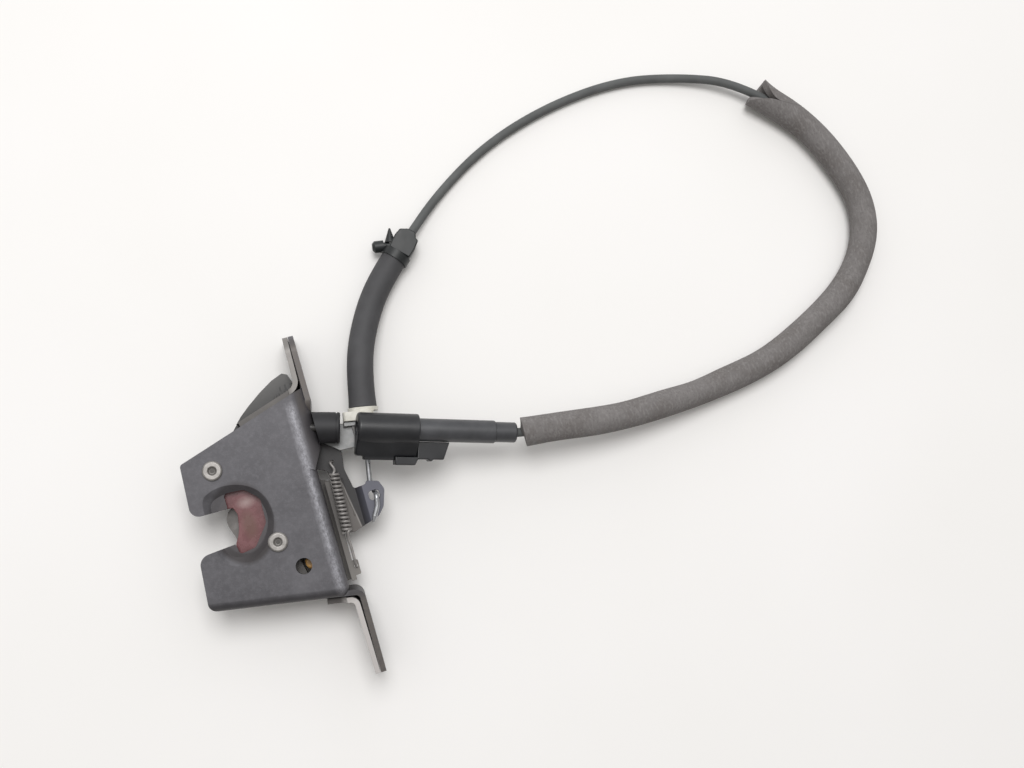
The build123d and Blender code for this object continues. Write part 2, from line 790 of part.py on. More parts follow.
# Bracket: foot on the plate's side, plate above the lever, slotted wall for the fitting
with BuildPart() as cable_bracket:
    with BuildSketch(Plane.XY.offset(plate_low)) as bracket_sketch:
        with BuildLine():
            Polyline(
                (foot_x, 27.5),
                (foot_x, 38.5),
                (8.4, 35.4),
                (8.4, 32.5),
                (13.9, 31.6),
                (13.9, 26.2),
                (24.6, 24.4),
                (23.8, 20.2),
                (6.2, 21.2),
                close=True,
            )
        make_face()
        fillet(corner(bracket_sketch, 23.8, 20.2), 2.5)
    extrude(amount=plate_t)
    with Locations((foot_x + foot_t / 2, 33.4, (plate_low + foot_top) / 2)):
        Box(foot_t, 10.2, foot_top - plate_low)
    with BuildSketch(at_cable(fitting_start + 2.1)):
        with Locations((1.2, 0.6)):
            Rectangle(15.6, 11.6)
        with Locations((0, 0)):
            Circle(3.5, mode=Mode.SUBTRACT)
        with Locations((0, -4)):
            Rectangle(7.0, 8.0, mode=Mode.SUBTRACT)
    extrude(amount=2.0)
    with BuildSketch(at_cable(fitting_start - 0.4)):
        Circle(4.9)
    extrude(amount=2.5, mode=Mode.SUBTRACT)
cable_bracket.part.label = "cable_bracket"
export_step(cable_bracket.part, "parts/cable_bracket.step")

# Rod: out of the fitting, up through the tab's slot and down along the tab to a tapered end
leg = Vector(16.0, -1.0, 0)
leg_low = Vector(*rod_leg, rod_z)
rod_end = Vector(12.9, -9.9, rod_top_z)
with BuildPart() as cable_rod:
    with BuildLine() as rod_path:
        FilletPolyline(
            leg_low + cable_dir * (fitting_start + 3.0),
            leg_low + cable_dir * 6.0,
            leg + Vector(0, 0, rod_z),
            leg + Vector(0, 0, rod_top_z),
            Vector(15.1, -6.0, rod_top_z),
            rod_end,
            radius=[3.0, 1.7, 1.7, 4.0],
        )
    with BuildSketch(Plane(origin=rod_path.line @ 0, z_dir=rod_path.line % 0)):
        Circle(rod_r)
    sweep()
    with BuildSketch(Plane(origin=rod_end, z_dir=rod_path.line % 1)):
        Circle(rod_r)
    extrude(amount=2.7, taper=14)
cable_rod.part.label = "cable_rod"
export_step(cable_rod.part, "parts/cable_rod.step")


# Cable route: straight runs and tangent arcs, out of the fitting and round to the coupling
coupling_dir = (coupling_end - coupling_start).normalized()
coupling_x = Vector(-coupling_dir.Y, coupling_dir.X, 0).normalized()
conduit_out = Vector(*rod_leg, rod_z) + cable_dir * (fitting_start + fitting_len)
floor_conduit = floor_z + conduit_r + 0.1
floor_hose = floor_z + hose_r + 0.1
floor_foam = floor_z + foam_r + 0.1
route = [
    conduit_out,
    conduit_out + cable_dir * 12.0,
    Vector(29.0, 67.5, -2.6),
    Vector(37.6, 82.4, floor_hose),
    Vector(46.9, 93.0, floor_hose),
    Vector(61.2, 106.0, floor_hose),
    Vector(80.8, 123.1, floor_conduit),
    Vector(108.6, 140.0, floor_conduit),
    Vector(142.0, 150.8, floor_conduit),
    Vector(178.0, 155.2, floor_conduit),
    Vector(207.5, 150.4, floor_conduit + 0.5),
    Vector(233.5, 140.6, floor_foam),
    Vector(262.0, 114.8, floor_foam),
    Vector(278.8, 80.0, floor_foam),
    Vector(277.6, 54.5, floor_foam),
    Vector(263.0, 33.4, floor_foam),
    Vector(237.0, 17.6, floor_foam),
    Vector(207.0, 6.4, floor_foam),
    Vector(176.0, 1.9, floor_foam + 1.0),
    Vector(146.0, 0.9, 0.0),
    Vector(121.0, 2.4, 4.3),
    coupling_end + coupling_dir * 2.8,
    coupling_end,
]


def bend_radii(points):
    # as large as the two runs at each corner allow
    radii = []
    for a, b, c in zip(points, points[1:], points[2:]):
        turn = (b - a).get_angle(c - b)
        shorter = min((b - a).length, (c - b).length)
        radii.append(0.45 * shorter / tan(radians(turn) / 2))
    return radii


radii = bend_radii(route)
print("bend radii, mm:", [round(r, 1) for r in radii])

with BuildPart() as cable_conduit:
    with BuildLine() as conduit_path:
        FilletPolyline(route, radius=radii)
    with BuildSketch(Plane(origin=conduit_path.line @ 0, z_dir=conduit_path.line % 0)):
        Circle(conduit_r)
    sweep()
print("cable length, mm:", round(conduit_path.wire().length, 1))
cable_conduit.part.label = "cable_conduit"
export_step(cable_conduit.part, "parts/cable_conduit.step")

hose_start = Vector(*rod_leg, rod_z) + cable_dir * (fitting_start + 10.1)
hose_end = route[4] + (route[5] - route[4]) * 0.5
with BuildPart() as hose_sleeve:
    with BuildLine() as hose_path:
        FilletPolyline([hose_start] + route[1:5] + [hose_end], radius=radii[0:4])
    with BuildSketch(Plane(origin=hose_path.line @ 0, z_dir=hose_path.line % 0)):
        Circle(hose_r)
        Circle(hose_bore_r, mode=Mode.SUBTRACT)
    sweep()
print("hose length, mm:", round(hose_path.wire().length, 1))
hose_sleeve.part.label = "hose_sleeve"
export_step(hose_sleeve.part, "parts/hose_sleeve.step")

foam_start = route[11] + (route[12] - route[11]) * 0.34
foam_end = route[21] + (route[20] - route[21]).normalized() * 1.5
with BuildPart() as foam_sleeve:
    with BuildLine() as foam_path:
        FilletPolyline([foam_start] + route[12:21] + [foam_end], radius=radii[11:20])
    with BuildSketch(Plane(origin=foam_path.line @ 0, z_dir=foam_path.line % 0)):
        Circle(foam_r)
        Circle(foam_bore_r, mode=Mode.SUBTRACT)
    sweep()
print("foam length, mm:", round(foam_path.wire().length, 1))
foam_sleeve.part.label = "foam_sleeve"
export_step(foam_sleeve.part, "parts/foam_sleeve.step")

# Clip at the hose's end: a collar, a block round the conduit, a stub and a spike
clip_dir = (route[5] - route[4]).normalized()
clip_plane = Plane(origin=hose_end, x_dir=(-clip_dir.Y, clip_dir.X, 0), z_dir=clip_dir)
stub_dir = Vector(-0.99, 0.13, 0)
stub_start = Vector(52.5, 104.6, floor_hose)
spike_dir = Vector(0.22, 0.97, 0.1)
spike_start = Vector(52.9, 106.0, floor_hose + 0.6)

with BuildPart() as clip_block:
    with BuildSketch(Plane.XY.offset(floor_z + 0.4)) as clip_sketch:
        with BuildLine():
            Polyline(
                (51.6, 103.6),
                (55.6, 108.2),
                (58.5, 110.2),
                (62.0, 109.3),
                (64.9, 106.9),
                (64.2, 104.2),
                (65.0, 102.9),
                (62.1, 99.3),
                (58.9, 96.4),
                close=True,
            )
        make_face()
        fillet(clip_sketch.vertices(), 0.8)
    extrude(amount=10.0)
    chamfer(clip_block.faces().sort_by(Axis.Z)[-1].edges(), 0.5)

with BuildPart() as cable_clip:
    with BuildSketch(clip_plane.offset(-2.4)):
        Circle(hose_r + 0.7)
    extrude(amount=3.6)
    add(clip_block.part)
    with BuildSketch(Plane(origin=stub_start, z_dir=stub_dir)):
        Circle(1.7)
    extrude(amount=5.0)
    with BuildSketch(Plane(origin=stub_start + stub_dir * 2.8, z_dir=stub_dir)):
        Circle(2.7)
    extrude(amount=5.2)
    chamfer(cable_clip.faces().sort_by(Axis.X)[0].edges(), 1.1)
    with BuildSketch(Plane(origin=spike_start, z_dir=spike_dir)):
        Circle(2.4)
    extrude(amount=6.2, taper=18)
    with BuildSketch(clip_plane.offset(-8)):
        Circle(hose_r + 0.05)
    extrude(amount=8.1, mode=Mode.SUBTRACT)
    with Locations((56, 102, floor_z - 5)):
        Box(40, 40, 10.1, mode=Mode.SUBTRACT)
    add(cable_conduit.part, mode=Mode.SUBTRACT)
cable_clip.part.label = "cable_clip"
export_step(cable_clip.part, "parts/cable_clip.step")


# Coupling at the cable's far end: a local frame with z along it, x sideways and y upwards
def at_coupling(distance):
    start = coupling_start + coupling_dir * distance
    return Plane(origin=start, x_dir=coupling_x, z_dir=coupling_dir)


with BuildPart() as coupling_body:
    with BuildSketch(at_coupling(body_start)):
        Circle(body_r)
        with BuildLine():
            Polyline(
                (0, body_r), (-11.6, -0.6), (-11.6, -body_r + 0.6), (0, -body_r), close=True
            )
        make_face()
    extrude(amount=body_len - body_start)
    chamfer(coupling_body.faces().sort_by(Axis.X)[0].edges(), 0.7)
    with BuildSketch(at_coupling(4.2)):
        with Locations((-6.6, -3.4)):
            Rectangle(13.2, 5.6)
    extrude(amount=13.2)
    with BuildSketch(at_coupling(-1)):
        Circle(3.0)
    extrude(amount=23, mode=Mode.SUBTRACT)
    with BuildSketch(at_coupling(21)):
        Circle(1.2)
    extrude(amount=8, mode=Mode.SUBTRACT)
coupling_body.part.label = "coupling_body"
export_step(coupling_body.part, "parts/coupling_body.step")

with BuildPart() as coupling_slider:
    with BuildSketch(at_coupling(10.6)):
        Circle(2.95)
    extrude(amount=10)
    chamfer(coupling_slider.edges(), 0.5)
coupling_slider.part.label = "coupling_slider"
export_step(coupling_slider.part, "parts/coupling_slider.step")

with BuildPart() as coupling_barrel:
    with BuildSketch(at_coupling(body_len + 0.02)):
        Circle(barrel_r)
        Circle(1.5, mode=Mode.SUBTRACT)
    extrude(amount=barrel_end - body_len - 0.04)
    chamfer(coupling_barrel.faces().sort_by(Axis.X)[-1].outer_wire().edges(), 0.3)
coupling_barrel.part.label = "coupling_barrel"
export_step(coupling_barrel.part, "parts/coupling_barrel.step")

tip_len = (coupling_end - coupling_start).length - barrel_end
with BuildPart() as barrel_tip:
    with BuildSketch(at_coupling(barrel_end)):
        Circle(tip_r)
    extrude(amount=tip_len)
    chamfer(barrel_tip.faces().sort_by(Axis.X)[-1].edges(), 0.5)
barrel_tip.part.label = "barrel_tip"
export_step(barrel_tip.part, "parts/barrel_tip.step")

lock_plane = Plane(origin=coupling_start, x_dir=coupling_dir, z_dir=at_coupling(0).y_dir)
with BuildPart() as coupling_lock:
    with BuildSketch(lock_plane.offset(-6.0)):
        with BuildLine():
            Polyline(
                (17.5, -11.7),
                (27.1, -11.7),
                (27.1, -5.1),
                (41.0, -5.1),
                (38.6, -12.6),
                (34.0, -12.6),
                (33.4, -13.4),
                (32.4, -13.4),
                (31.8, -12.6),
                (27.4, -12.6),
                (26.2, -15.2),
                (17.5, -15.2),
                close=True,
            )
        make_face()
    extrude(amount=6.6)
coupling_lock.part.label = "coupling_lock"
export_step(coupling_lock.part, "parts/coupling_lock.step")
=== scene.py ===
import bpy
import bmesh
from math import cos, exp, pi, radians, sin
from mathutils import Matrix, Vector


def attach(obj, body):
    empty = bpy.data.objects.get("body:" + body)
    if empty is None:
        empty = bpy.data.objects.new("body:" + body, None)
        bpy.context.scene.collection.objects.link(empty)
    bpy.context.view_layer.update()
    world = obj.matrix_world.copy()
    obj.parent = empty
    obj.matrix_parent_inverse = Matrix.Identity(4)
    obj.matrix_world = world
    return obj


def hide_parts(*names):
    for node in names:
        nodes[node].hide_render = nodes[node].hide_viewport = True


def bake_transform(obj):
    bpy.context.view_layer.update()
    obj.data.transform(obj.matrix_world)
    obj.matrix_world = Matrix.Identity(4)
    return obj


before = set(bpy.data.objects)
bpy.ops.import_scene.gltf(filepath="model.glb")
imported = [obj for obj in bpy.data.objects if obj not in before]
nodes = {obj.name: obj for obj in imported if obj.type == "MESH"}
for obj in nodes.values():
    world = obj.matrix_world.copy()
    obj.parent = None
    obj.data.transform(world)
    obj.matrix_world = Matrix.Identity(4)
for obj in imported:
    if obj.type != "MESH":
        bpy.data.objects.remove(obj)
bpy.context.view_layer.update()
mm = 0.001
floorHeight = -12.0 * mm


# Small helpers

def linearColour(hexCode):
    # sRGB hex to the linear numbers that the shader wants
    parts = [int(hexCode[i:i + 2], 16) / 255 for i in (1, 3, 5)]
    return [*[c / 12.92 if c <= 0.04045 else ((c + 0.055) / 1.055) ** 2.4 for c in parts], 1.0]


def addNode(tree, kind, inputs=(), stops=(), **settings):
    # one node with its settings, its colour stops and its inputs, by name or in order
    node = tree.nodes.new(kind)
    for key, value in settings.items():
        setattr(node, key, value)
    for key, value in inputs.items() if isinstance(inputs, dict) else enumerate(inputs):
        if isinstance(value, bpy.types.Node):
            value = next(socket for socket in value.outputs if socket.enabled)
        if isinstance(value, bpy.types.NodeSocket):
            tree.links.new(value, node.inputs[key])
        else:
            node.inputs[key].default_value = linearColour(value) if isinstance(value, str) else value
    if stops:
        ramp = node.color_ramp.elements
        while len(ramp) < len(stops):
            ramp.new(0.5)
        for element, (position, hexCode) in zip(ramp, stops):
            element.position = position
            element.color = linearColour(hexCode)
    return node


def perMm(size):
    # texture scale whose features are about this many millimetres
    return 1.0 / (size * mm)


def startMaterial(name):
    material = bpy.data.materials.new(name)
    material.use_nodes = True
    tree = material.node_tree
    tree.nodes.clear()
    output = addNode(tree, "ShaderNodeOutputMaterial")
    shader = addNode(tree, "ShaderNodeBsdfPrincipled")
    tree.links.new(shader.outputs["BSDF"], output.inputs["Surface"])
    place = addNode(tree, "ShaderNodeTexCoord").outputs["Object"]
    return material, tree, shader, place


finishWork = {
    "toneStops": (0.3, 0.52, 0.72), "blotchDetail": 5.0, "blotchRoughness": 0.62, "glossSpan": (0.3, 0.7),
    "grainDetail": 3.0, "grainRoughness": 0.6, "grainDepth": 0.25,
}


def baseFinish(name, look):
    # colour that wanders between three tones, with a gloss that follows it, and a fine grain in the
    # bump; real grain is too fine to show, so it is drawn about a pixel wide
    f = finishWork
    material, tree, shader, place = startMaterial(name)
    blotch = addNode(tree, "ShaderNodeTexNoise", {
        "Vector": place, "Scale": perMm(look["blotchMm"]), "Detail": f["blotchDetail"],
        "Roughness": f["blotchRoughness"]})
    tone = addNode(tree, "ShaderNodeValToRGB", [blotch],
                   stops=list(zip(f["toneStops"], (look["dark"], look["base"], look["light"]))))
    grain = addNode(tree, "ShaderNodeTexNoise", {
        "Vector": place, "Scale": perMm(look["grainMm"]), "Detail": f["grainDetail"],
        "Roughness": f["grainRoughness"]})
    glossiest = look["roughness"] - look["glossSpread"]
    dullest = look["roughness"] + look["glossSpread"]
    gloss = addNode(tree, "ShaderNodeMapRange", [blotch, *f["glossSpan"], glossiest, dullest])
    depth = look["grainMm"] * f["grainDepth"] * mm
    bump = addNode(tree, "ShaderNodeBump", {
        "Height": grain, "Strength": look["grainStrength"], "Distance": depth})
    tree.links.new(tone.outputs["Color"], shader.inputs["Base Color"])
    tree.links.new(gloss.outputs["Result"], shader.inputs["Roughness"])
    tree.links.new(bump.outputs["Normal"], shader.inputs["Normal"])
    shader.inputs["Metallic"].default_value = look["metallic"]
    if "ior" in look:
        shader.inputs["IOR"].default_value = look["ior"]
    return material, tree, shader, place, tone


def placeInMm(tree, place):
    # the piece's own coordinates in millimetres, then X and Y by themselves
    inMm = addNode(tree, "ShaderNodeVectorMath", {0: place, "Scale": 1 / mm}, operation="SCALE")
    across, along = addNode(tree, "ShaderNodeSeparateXYZ", [inMm]).outputs[:2]
    return inMm, across, along


def ellipseRadius(tree, inMm, centre, radii):
    # distance from an axis parallel to Z, counted in the radii of an ellipse
    moved = addNode(tree, "ShaderNodeVectorMath", [inMm, (*centre, 0.0)], operation="SUBTRACT")
    scale = (1 / radii[0], 1 / radii[1], 0.0)
    scaled = addNode(tree, "ShaderNodeVectorMath", [moved, scale], operation="MULTIPLY")
    return addNode(tree, "ShaderNodeVectorMath", [scaled], operation="LENGTH")


def aboveSlope(tree, inMm, slope):
    # Y counted from a slanted line through the origin
    return addNode(tree, "ShaderNodeVectorMath", [inMm, (-slope, 1.0, 0.0)], operation="DOT_PRODUCT")


def paintOver(tree, shader, ground, layers):
    # each layer is a colour and the spans that limit it: a value, where it starts and ends, and how
    # strong the colour is there if that isn't 0 and 1
    for hexCode, *spans in layers:
        shares = [addNode(tree, "ShaderNodeMapRange", span) for span in spans]
        share = shares[0]
        for another in shares[1:]:
            share = addNode(tree, "ShaderNodeMath", [share, another], operation="MULTIPLY")
        ground = addNode(tree, "ShaderNodeMix", {0: share, 6: ground, 7: hexCode}, data_type="RGBA")
    tree.links.new(ground.outputs[2], shader.inputs["Base Color"])


def dress(piece, material):
    piece.data.materials.clear()
    piece.data.materials.append(material)


def linkedObject(name, data):
    thing = bpy.data.objects.new(name, data)
    bpy.context.scene.collection.objects.link(thing)
    return thing


def evaluatedMesh(thing):
    # what the modifiers or the curve make of it, as a plain mesh
    return bpy.data.meshes.new_from_object(thing.evaluated_get(bpy.context.evaluated_depsgraph_get()))


def meshPiece(name, mesh, material, body=None):
    piece = linkedObject(name, mesh)
    dress(piece, material)
    if body:
        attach(piece, body)
    return piece


edgeWork = {"mergeMm": 0.002, "flatDegrees": 1.0, "sharpDegrees": 38.0, "segments": 2}


def roundedCopy(node, name, material, body, radius, segments=edgeWork["segments"],
                sharpDegrees=edgeWork["sharpDegrees"]):
    # the CAD piece with its edges broken, as deburring or moulding leaves them
    mesh = nodes[node].data.copy()
    mesh.name = name
    shape = bmesh.new()
    shape.from_mesh(mesh)
    bmesh.ops.remove_doubles(shape, verts=shape.verts, dist=edgeWork["mergeMm"] * mm)
    bmesh.ops.dissolve_limit(shape, angle_limit=radians(edgeWork["flatDegrees"]), verts=shape.verts,
                             edges=shape.edges)
    for face in shape.faces:
        face.smooth = True
    shape.to_mesh(mesh)
    shape.free()
    mesh.set_sharp_from_angle(angle=radians(sharpDegrees))
    piece = meshPiece(name, mesh, material, body)
    bevel = piece.modifiers.new("brokenEdges", "BEVEL")
    bevel.width = radius * mm
    bevel.segments = segments
    bevel.limit_method = "ANGLE"
    bevel.angle_limit = radians(sharpDegrees)
    bevel.harden_normals = True
    bevel.use_clamp_overlap = True
    evened = piece.modifiers.new("evenedNormals", "WEIGHTED_NORMAL")
    evened.keep_sharp = True
    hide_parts(node)


# Phosphated sheet steel, pressed: soft speckled grey, with a worn streak and a painted highlight along
# the bend and painted shade beside it, painted shade in the dish and along the lower bend, and brown
# on the cut edges of the ears

plateLook = {
    "base": "#535256", "dark": "#48474b", "light": "#5e5d61",
    "blotchMm": 16.0, "grainMm": 0.55, "grainStrength": 0.22,
    "roughness": 0.5, "glossSpread": 0.05, "metallic": 0.3,
    "speckMm": 2.2, "speckSpan": (0.46, 0.8), "speckHex": "#7f7e83", "speckStrength": 0.32,
    "rubAndHighlightHex": "#a0a0a6", "rubAndHighlightMiddleMm": -8.7, "rubAndHighlightWidthMm": 2.9, "rubGrainMm": 0.9, "rubStretch": 0.55,
    "rubEndsMm": (44.0, 47.0), "rubSpan": (0.34, 0.66), "rubLeast": 0.1,
    "shadeHex": "#504d4f", "shadeMm": (-7.2, -5.0), "shadeStrength": 0.75,
    "dishMm": (-40.6, 3.2), "dishRadiiMm": (12.6, 16.6), "dishShadeHex": "#312d2e",
    "dishInside": (0.7, 0.8), "dishOutside": (0.98, 1.1), "dishDownMm": (0.0, -9.0),
    "dishStrength": (0.6, 0.9), "dishFloorShadeHex": "#3f3837", "dishFloorStrength": 0.6,
    "lowerEdgeSlope": -0.183, "footMm": (-39.4, -35.7), "footShadeHex": "#363436", "footStrength": 0.75,
    "earsMm": (38.5, 42.5), "earsAcrossMm": (-6.5, -4.0), "earsFacing": (0.55, 0.9),
    "cutEdgeHex": "#5b5652", "stainMm": 2.4, "stainSpan": (0.3, 0.6), "stainLeast": 0.45,
}


def pressedSteelMaterial():
    look = plateLook
    material, tree, shader, place, tone = baseFinish("phosphatedSteelSheet", look)
    inMm, across, along = placeInMm(tree, place)
    normal = addNode(tree, "ShaderNodeTexCoord").outputs["Normal"]
    facingUp = addNode(tree, "ShaderNodeSeparateXYZ", [normal]).outputs["Z"]
    reach = addNode(tree, "ShaderNodeMath", [along], operation="ABSOLUTE")
    fromRubAndHighlight = addNode(tree, "ShaderNodeMath", [across, look["rubAndHighlightMiddleMm"]], operation="SUBTRACT")
    asideOfRubAndHighlight = addNode(tree, "ShaderNodeMath", [fromRubAndHighlight], operation="ABSOLUTE")
    drawn = addNode(tree, "ShaderNodeMapping", {"Vector": place, "Scale": (1.0, look["rubStretch"], 1.0)})
    streaks = addNode(tree, "ShaderNodeTexNoise", {
        "Vector": drawn, "Scale": perMm(look["rubGrainMm"]), "Detail": 6.0, "Roughness": 0.75})
    specks = addNode(tree, "ShaderNodeTexNoise", {
        "Vector": place, "Scale": perMm(look["speckMm"]), "Detail": 6.0, "Roughness": 0.8})
    stain = addNode(tree, "ShaderNodeTexNoise", {
        "Vector": place, "Scale": perMm(look["stainMm"]), "Detail": 6.0, "Roughness": 0.7})
    radius = ellipseRadius(tree, inMm, look["dishMm"], look["dishRadiiMm"])
    aboveEdge = aboveSlope(tree, inMm, look["lowerEdgeSlope"])
    onFlange = (reach, *look["rubEndsMm"], 1.0, 0.0)
    paintOver(tree, shader, tone, [
        (look["speckHex"], (specks, *look["speckSpan"], 0.0, look["speckStrength"])),
        # worn streak along the bend with a painted highlight over it, where the bend would catch the light
        (look["rubAndHighlightHex"], (asideOfRubAndHighlight, 0.0, look["rubAndHighlightWidthMm"], 1.0, 0.0),
         (streaks, *look["rubSpan"], look["rubLeast"], 1.0), onFlange),
        (look["shadeHex"], (across, *look["shadeMm"], 0.0, look["shadeStrength"]), onFlange),
        # painted shade on the dish's slope, deeper towards its lower side
        (look["dishShadeHex"], (radius, *look["dishInside"]), (radius, *look["dishOutside"], 1.0, 0.0),
         (along, *look["dishDownMm"], *look["dishStrength"])),
        # painted shade on the dish's floor
        (look["dishFloorShadeHex"], (radius, *look["dishInside"], look["dishFloorStrength"], 0.0)),
        # painted shade along the lower bend, which faces away from the light
        (look["footShadeHex"], (aboveEdge, *look["footMm"], look["footStrength"], 0.0)),
        (look["cutEdgeHex"], (reach, *look["earsMm"]), (across, *look["earsAcrossMm"]),
         (facingUp, *look["earsFacing"]), (stain, *look["stainSpan"], look["stainLeast"], 1.0)),
    ])
    return material


# Zinc-plated steel, barrel finished: bright and slightly yellow, with a soft gloss, and painted shade
# in the dimple that the riveting tool leaves

rivetLook = {
    "base": "#9a9794", "dark": "#888582", "light": "#a8a5a2",
    "blotchMm": 2.2, "grainMm": 0.3, "grainStrength": 0.2,
    "roughness": 0.42, "glossSpread": 0.06, "metallic": 0.6,
    "dimpleMm": (0.85, 1.45), "dimpleShadeHex": "#3c3a38", "dimpleStrength": 0.9,
}


def rivetMaterial(name, centre):
    look = rivetLook
    material, tree, shader, place, tone = baseFinish(name, look)
    radius = ellipseRadius(tree, placeInMm(tree, place)[0], centre, (1.0, 1.0))
    paintOver(tree, shader, tone, [
        # painted shade in the dimple
        (look["dimpleShadeHex"], (radius, *look["dimpleMm"], look["dimpleStrength"], 0.0)),
    ])
    return material


# Bare blanked steel of the claw and its bushes: mid grey with a mill finish, dulled by old grease

steelLook = {
    "base": "#696664", "dark": "#575553", "light": "#7d7b79",
    "blotchMm": 4.0, "grainMm": 0.4, "grainStrength": 0.2,
    "roughness": 0.45, "glossSpread": 0.06, "metallic": 0.4,
}

# Phosphated lever: near black and warm, lighter on the strip behind the spring, with a pale line of
# burnish and painted highlight along its bead, and painted light on the tab, which is lighter and
# bluer than the rest of the lever

leverLook = {
    "base": "#302f30", "dark": "#292828", "light": "#393839",
    "blotchMm": 7.0, "grainMm": 0.5, "grainStrength": 0.2,
    "roughness": 0.5, "glossSpread": 0.05, "metallic": 0.3,
    "beadMm": ((3.0, 8.7), (5.2, -5.3)), "beadWidthMm": 0.45, "beadBurnishAndHighlightHex": "#8d8a87",
    "beadTopMm": (10.2, 7.2), "beadRightMm": (7.5, 6.0),
    "stripHex": "#66625f", "stripStrength": 0.85, "stripEdgeMm": 0.3,
    "tabMm": (7.5, 10.5), "litTabHex": "#5c5d66",
}


def leverMaterial():
    look = leverLook
    material, tree, shader, place, tone = baseFinish("phosphatedLever", look)
    inMm, across, along = placeInMm(tree, place)
    start, end = [Vector((*spot, 0.0)) for spot in look["beadMm"]]
    line = (end - start).normalized()
    sideways = Vector((-line.y, line.x, 0.0))
    measured = addNode(tree, "ShaderNodeVectorMath", [inMm, sideways], operation="DOT_PRODUCT")
    offset = addNode(tree, "ShaderNodeMath", [measured, sideways.dot(start)], operation="SUBTRACT")
    away = addNode(tree, "ShaderNodeMath", [offset], operation="ABSOLUTE")
    edge = look["stripEdgeMm"]
    within = [(along, *look["beadTopMm"]), (across, *look["beadRightMm"])]
    paintOver(tree, shader, tone, [
        (look["stripHex"], (offset, edge, -edge, 0.0, look["stripStrength"]), *within),
        # pale line along the bead: burnished edge with a painted highlight
        (look["beadBurnishAndHighlightHex"], (away, 0.0, look["beadWidthMm"], 1.0, 0.0), *within),
        # painted light on the tab, which lies out of the shade that falls on the rest of the lever
        (look["litTabHex"], (across, *look["tabMm"])),
    ])
    return material


# Cold-rolled second sheet: the same grey but thinner; painted light towards its lower end and on its
# ears, and painted shade along its foot under the front plate

rearLook = {
    "base": "#565351", "dark": "#494644", "light": "#63605d",
    "blotchMm": 9.0, "grainMm": 0.5, "grainStrength": 0.2,
    "roughness": 0.48, "glossSpread": 0.06, "metallic": 0.3,
    "paintedLightMm": (-6.0, -32.0), "paintedLightHex": "#7d7a76", "paintedLightStrength": 0.85,
    "upperEarMm": (42.0, 48.0), "upperEarAcrossMm": (-9.0, -6.0), "earLightHex": "#8c8986", "earLightStrength": 0.7,
    "lowerEarMm": (-36.0, -42.0), "lowerEarLightHex": "#b8b4b2", "lowerEarLightStrength": 0.9,
    "footAcrossMm": (-10.5, -7.5), "footMm": (-30.0, -34.0), "footShadeHex": "#35312f", "footStrength": 0.9,
}


def rearSheetMaterial():
    look = rearLook
    material, tree, shader, place, tone = baseFinish("coldRolledSheet", look)
    across, along = placeInMm(tree, place)[1:]
    paintOver(tree, shader, tone, [
        # painted light: lighter towards the lower end, darker up under the front plate
        (look["paintedLightHex"], (along, *look["paintedLightMm"], 0.0, look["paintedLightStrength"])),
        # painted light on the upper ear
        (look["earLightHex"], (along, *look["upperEarMm"], 0.0, look["earLightStrength"]),
         (across, *look["upperEarAcrossMm"])),
        # painted light and highlight on the lower ear, brightening the shaded gap beside it
        (look["lowerEarLightHex"], (along, *look["lowerEarMm"], 0.0, look["lowerEarLightStrength"])),
        # painted shade on the foot, where it lies in the front plate's shadow
        (look["footShadeHex"], (across, *look["footAcrossMm"], look["footStrength"], 0.0),
         (along, *look["footMm"])),
    ])
    return material


# Zinc-plated sheet of the cable's bracket: lighter and glossier than the pressed plates

bracketLook = {
    "base": "#7a7b7b", "dark": "#686868", "light": "#8c8b8a",
    "blotchMm": 5.0, "grainMm": 0.4, "grainStrength": 0.15,
    "roughness": 0.38, "glossSpread": 0.06, "metallic": 0.55,
}

# Drawn spring wire, oiled: grey-brown with a soft gloss

springLook = {
    "base": "#8e8b89", "dark": "#7e7b79", "light": "#9e9b99",
    "blotchMm": 3.0, "grainMm": 0.2, "grainStrength": 0.1,
    "roughness": 0.42, "glossSpread": 0.05, "metallic": 0.35,
}

# Bright drawn wire of the cable's rod: pale and smooth, with crisp highlights along it

rodLook = {
    "base": "#a9abae", "dark": "#93959a", "light": "#bcbec1",
    "blotchMm": 4.0, "grainMm": 0.3, "grainStrength": 0.1,
    "roughness": 0.28, "glossSpread": 0.04, "metallic": 0.8,
}

# Glass-filled nylon, moulded: black with a soft sheen

nylonLook = {
    "base": "#1f2023", "dark": "#1a1b1e", "light": "#27282b",
    "blotchMm": 8.0, "grainMm": 0.35, "grainStrength": 0.25,
    "roughness": 0.36, "glossSpread": 0.05, "metallic": 0.0, "ior": 1.52,
}

# Same nylon on the round barrel, a lighter grey

barrelLook = {
    "base": "#404144", "dark": "#393a3d", "light": "#494a4d",
    "blotchMm": 8.0, "grainMm": 0.35, "grainStrength": 0.25,
    "roughness": 0.4, "glossSpread": 0.05, "metallic": 0.0, "ior": 1.52,
}

# Rubber of the buffer: blacker and duller than the nylon

rubberLook = {
    "base": "#202023", "dark": "#1b1b1d", "light": "#27272a",
    "blotchMm": 8.0, "grainMm": 0.4, "grainStrength": 0.2,
    "roughness": 0.55, "glossSpread": 0.04, "metallic": 0.0, "ior": 1.45,
}

# Moulded cover: the same nylon, greyed by dust and handling

coverLook = {
    "base": "#4e4d4c", "dark": "#454443", "light": "#585756",
    "blotchMm": 9.0, "grainMm": 0.5, "grainStrength": 0.3,
    "roughness": 0.45, "glossSpread": 0.05, "metallic": 0.0, "ior": 1.5,
    "plateEdgeSlope": 0.3224, "underMm": (55.0, 62.0), "underPlateShadeHex": "#272626", "underPlateShadeStrength": 0.85,
    "slitsMm": (-8.6, 54.0), "slitsRadiiMm": (4.2, 1.7), "slitStepMm": 2.4, "slitHex": "#121212",
    "slitSpan": (0.3, 0.6), "slitsFade": (0.8, 1.0), "slitStrength": 0.9,
}


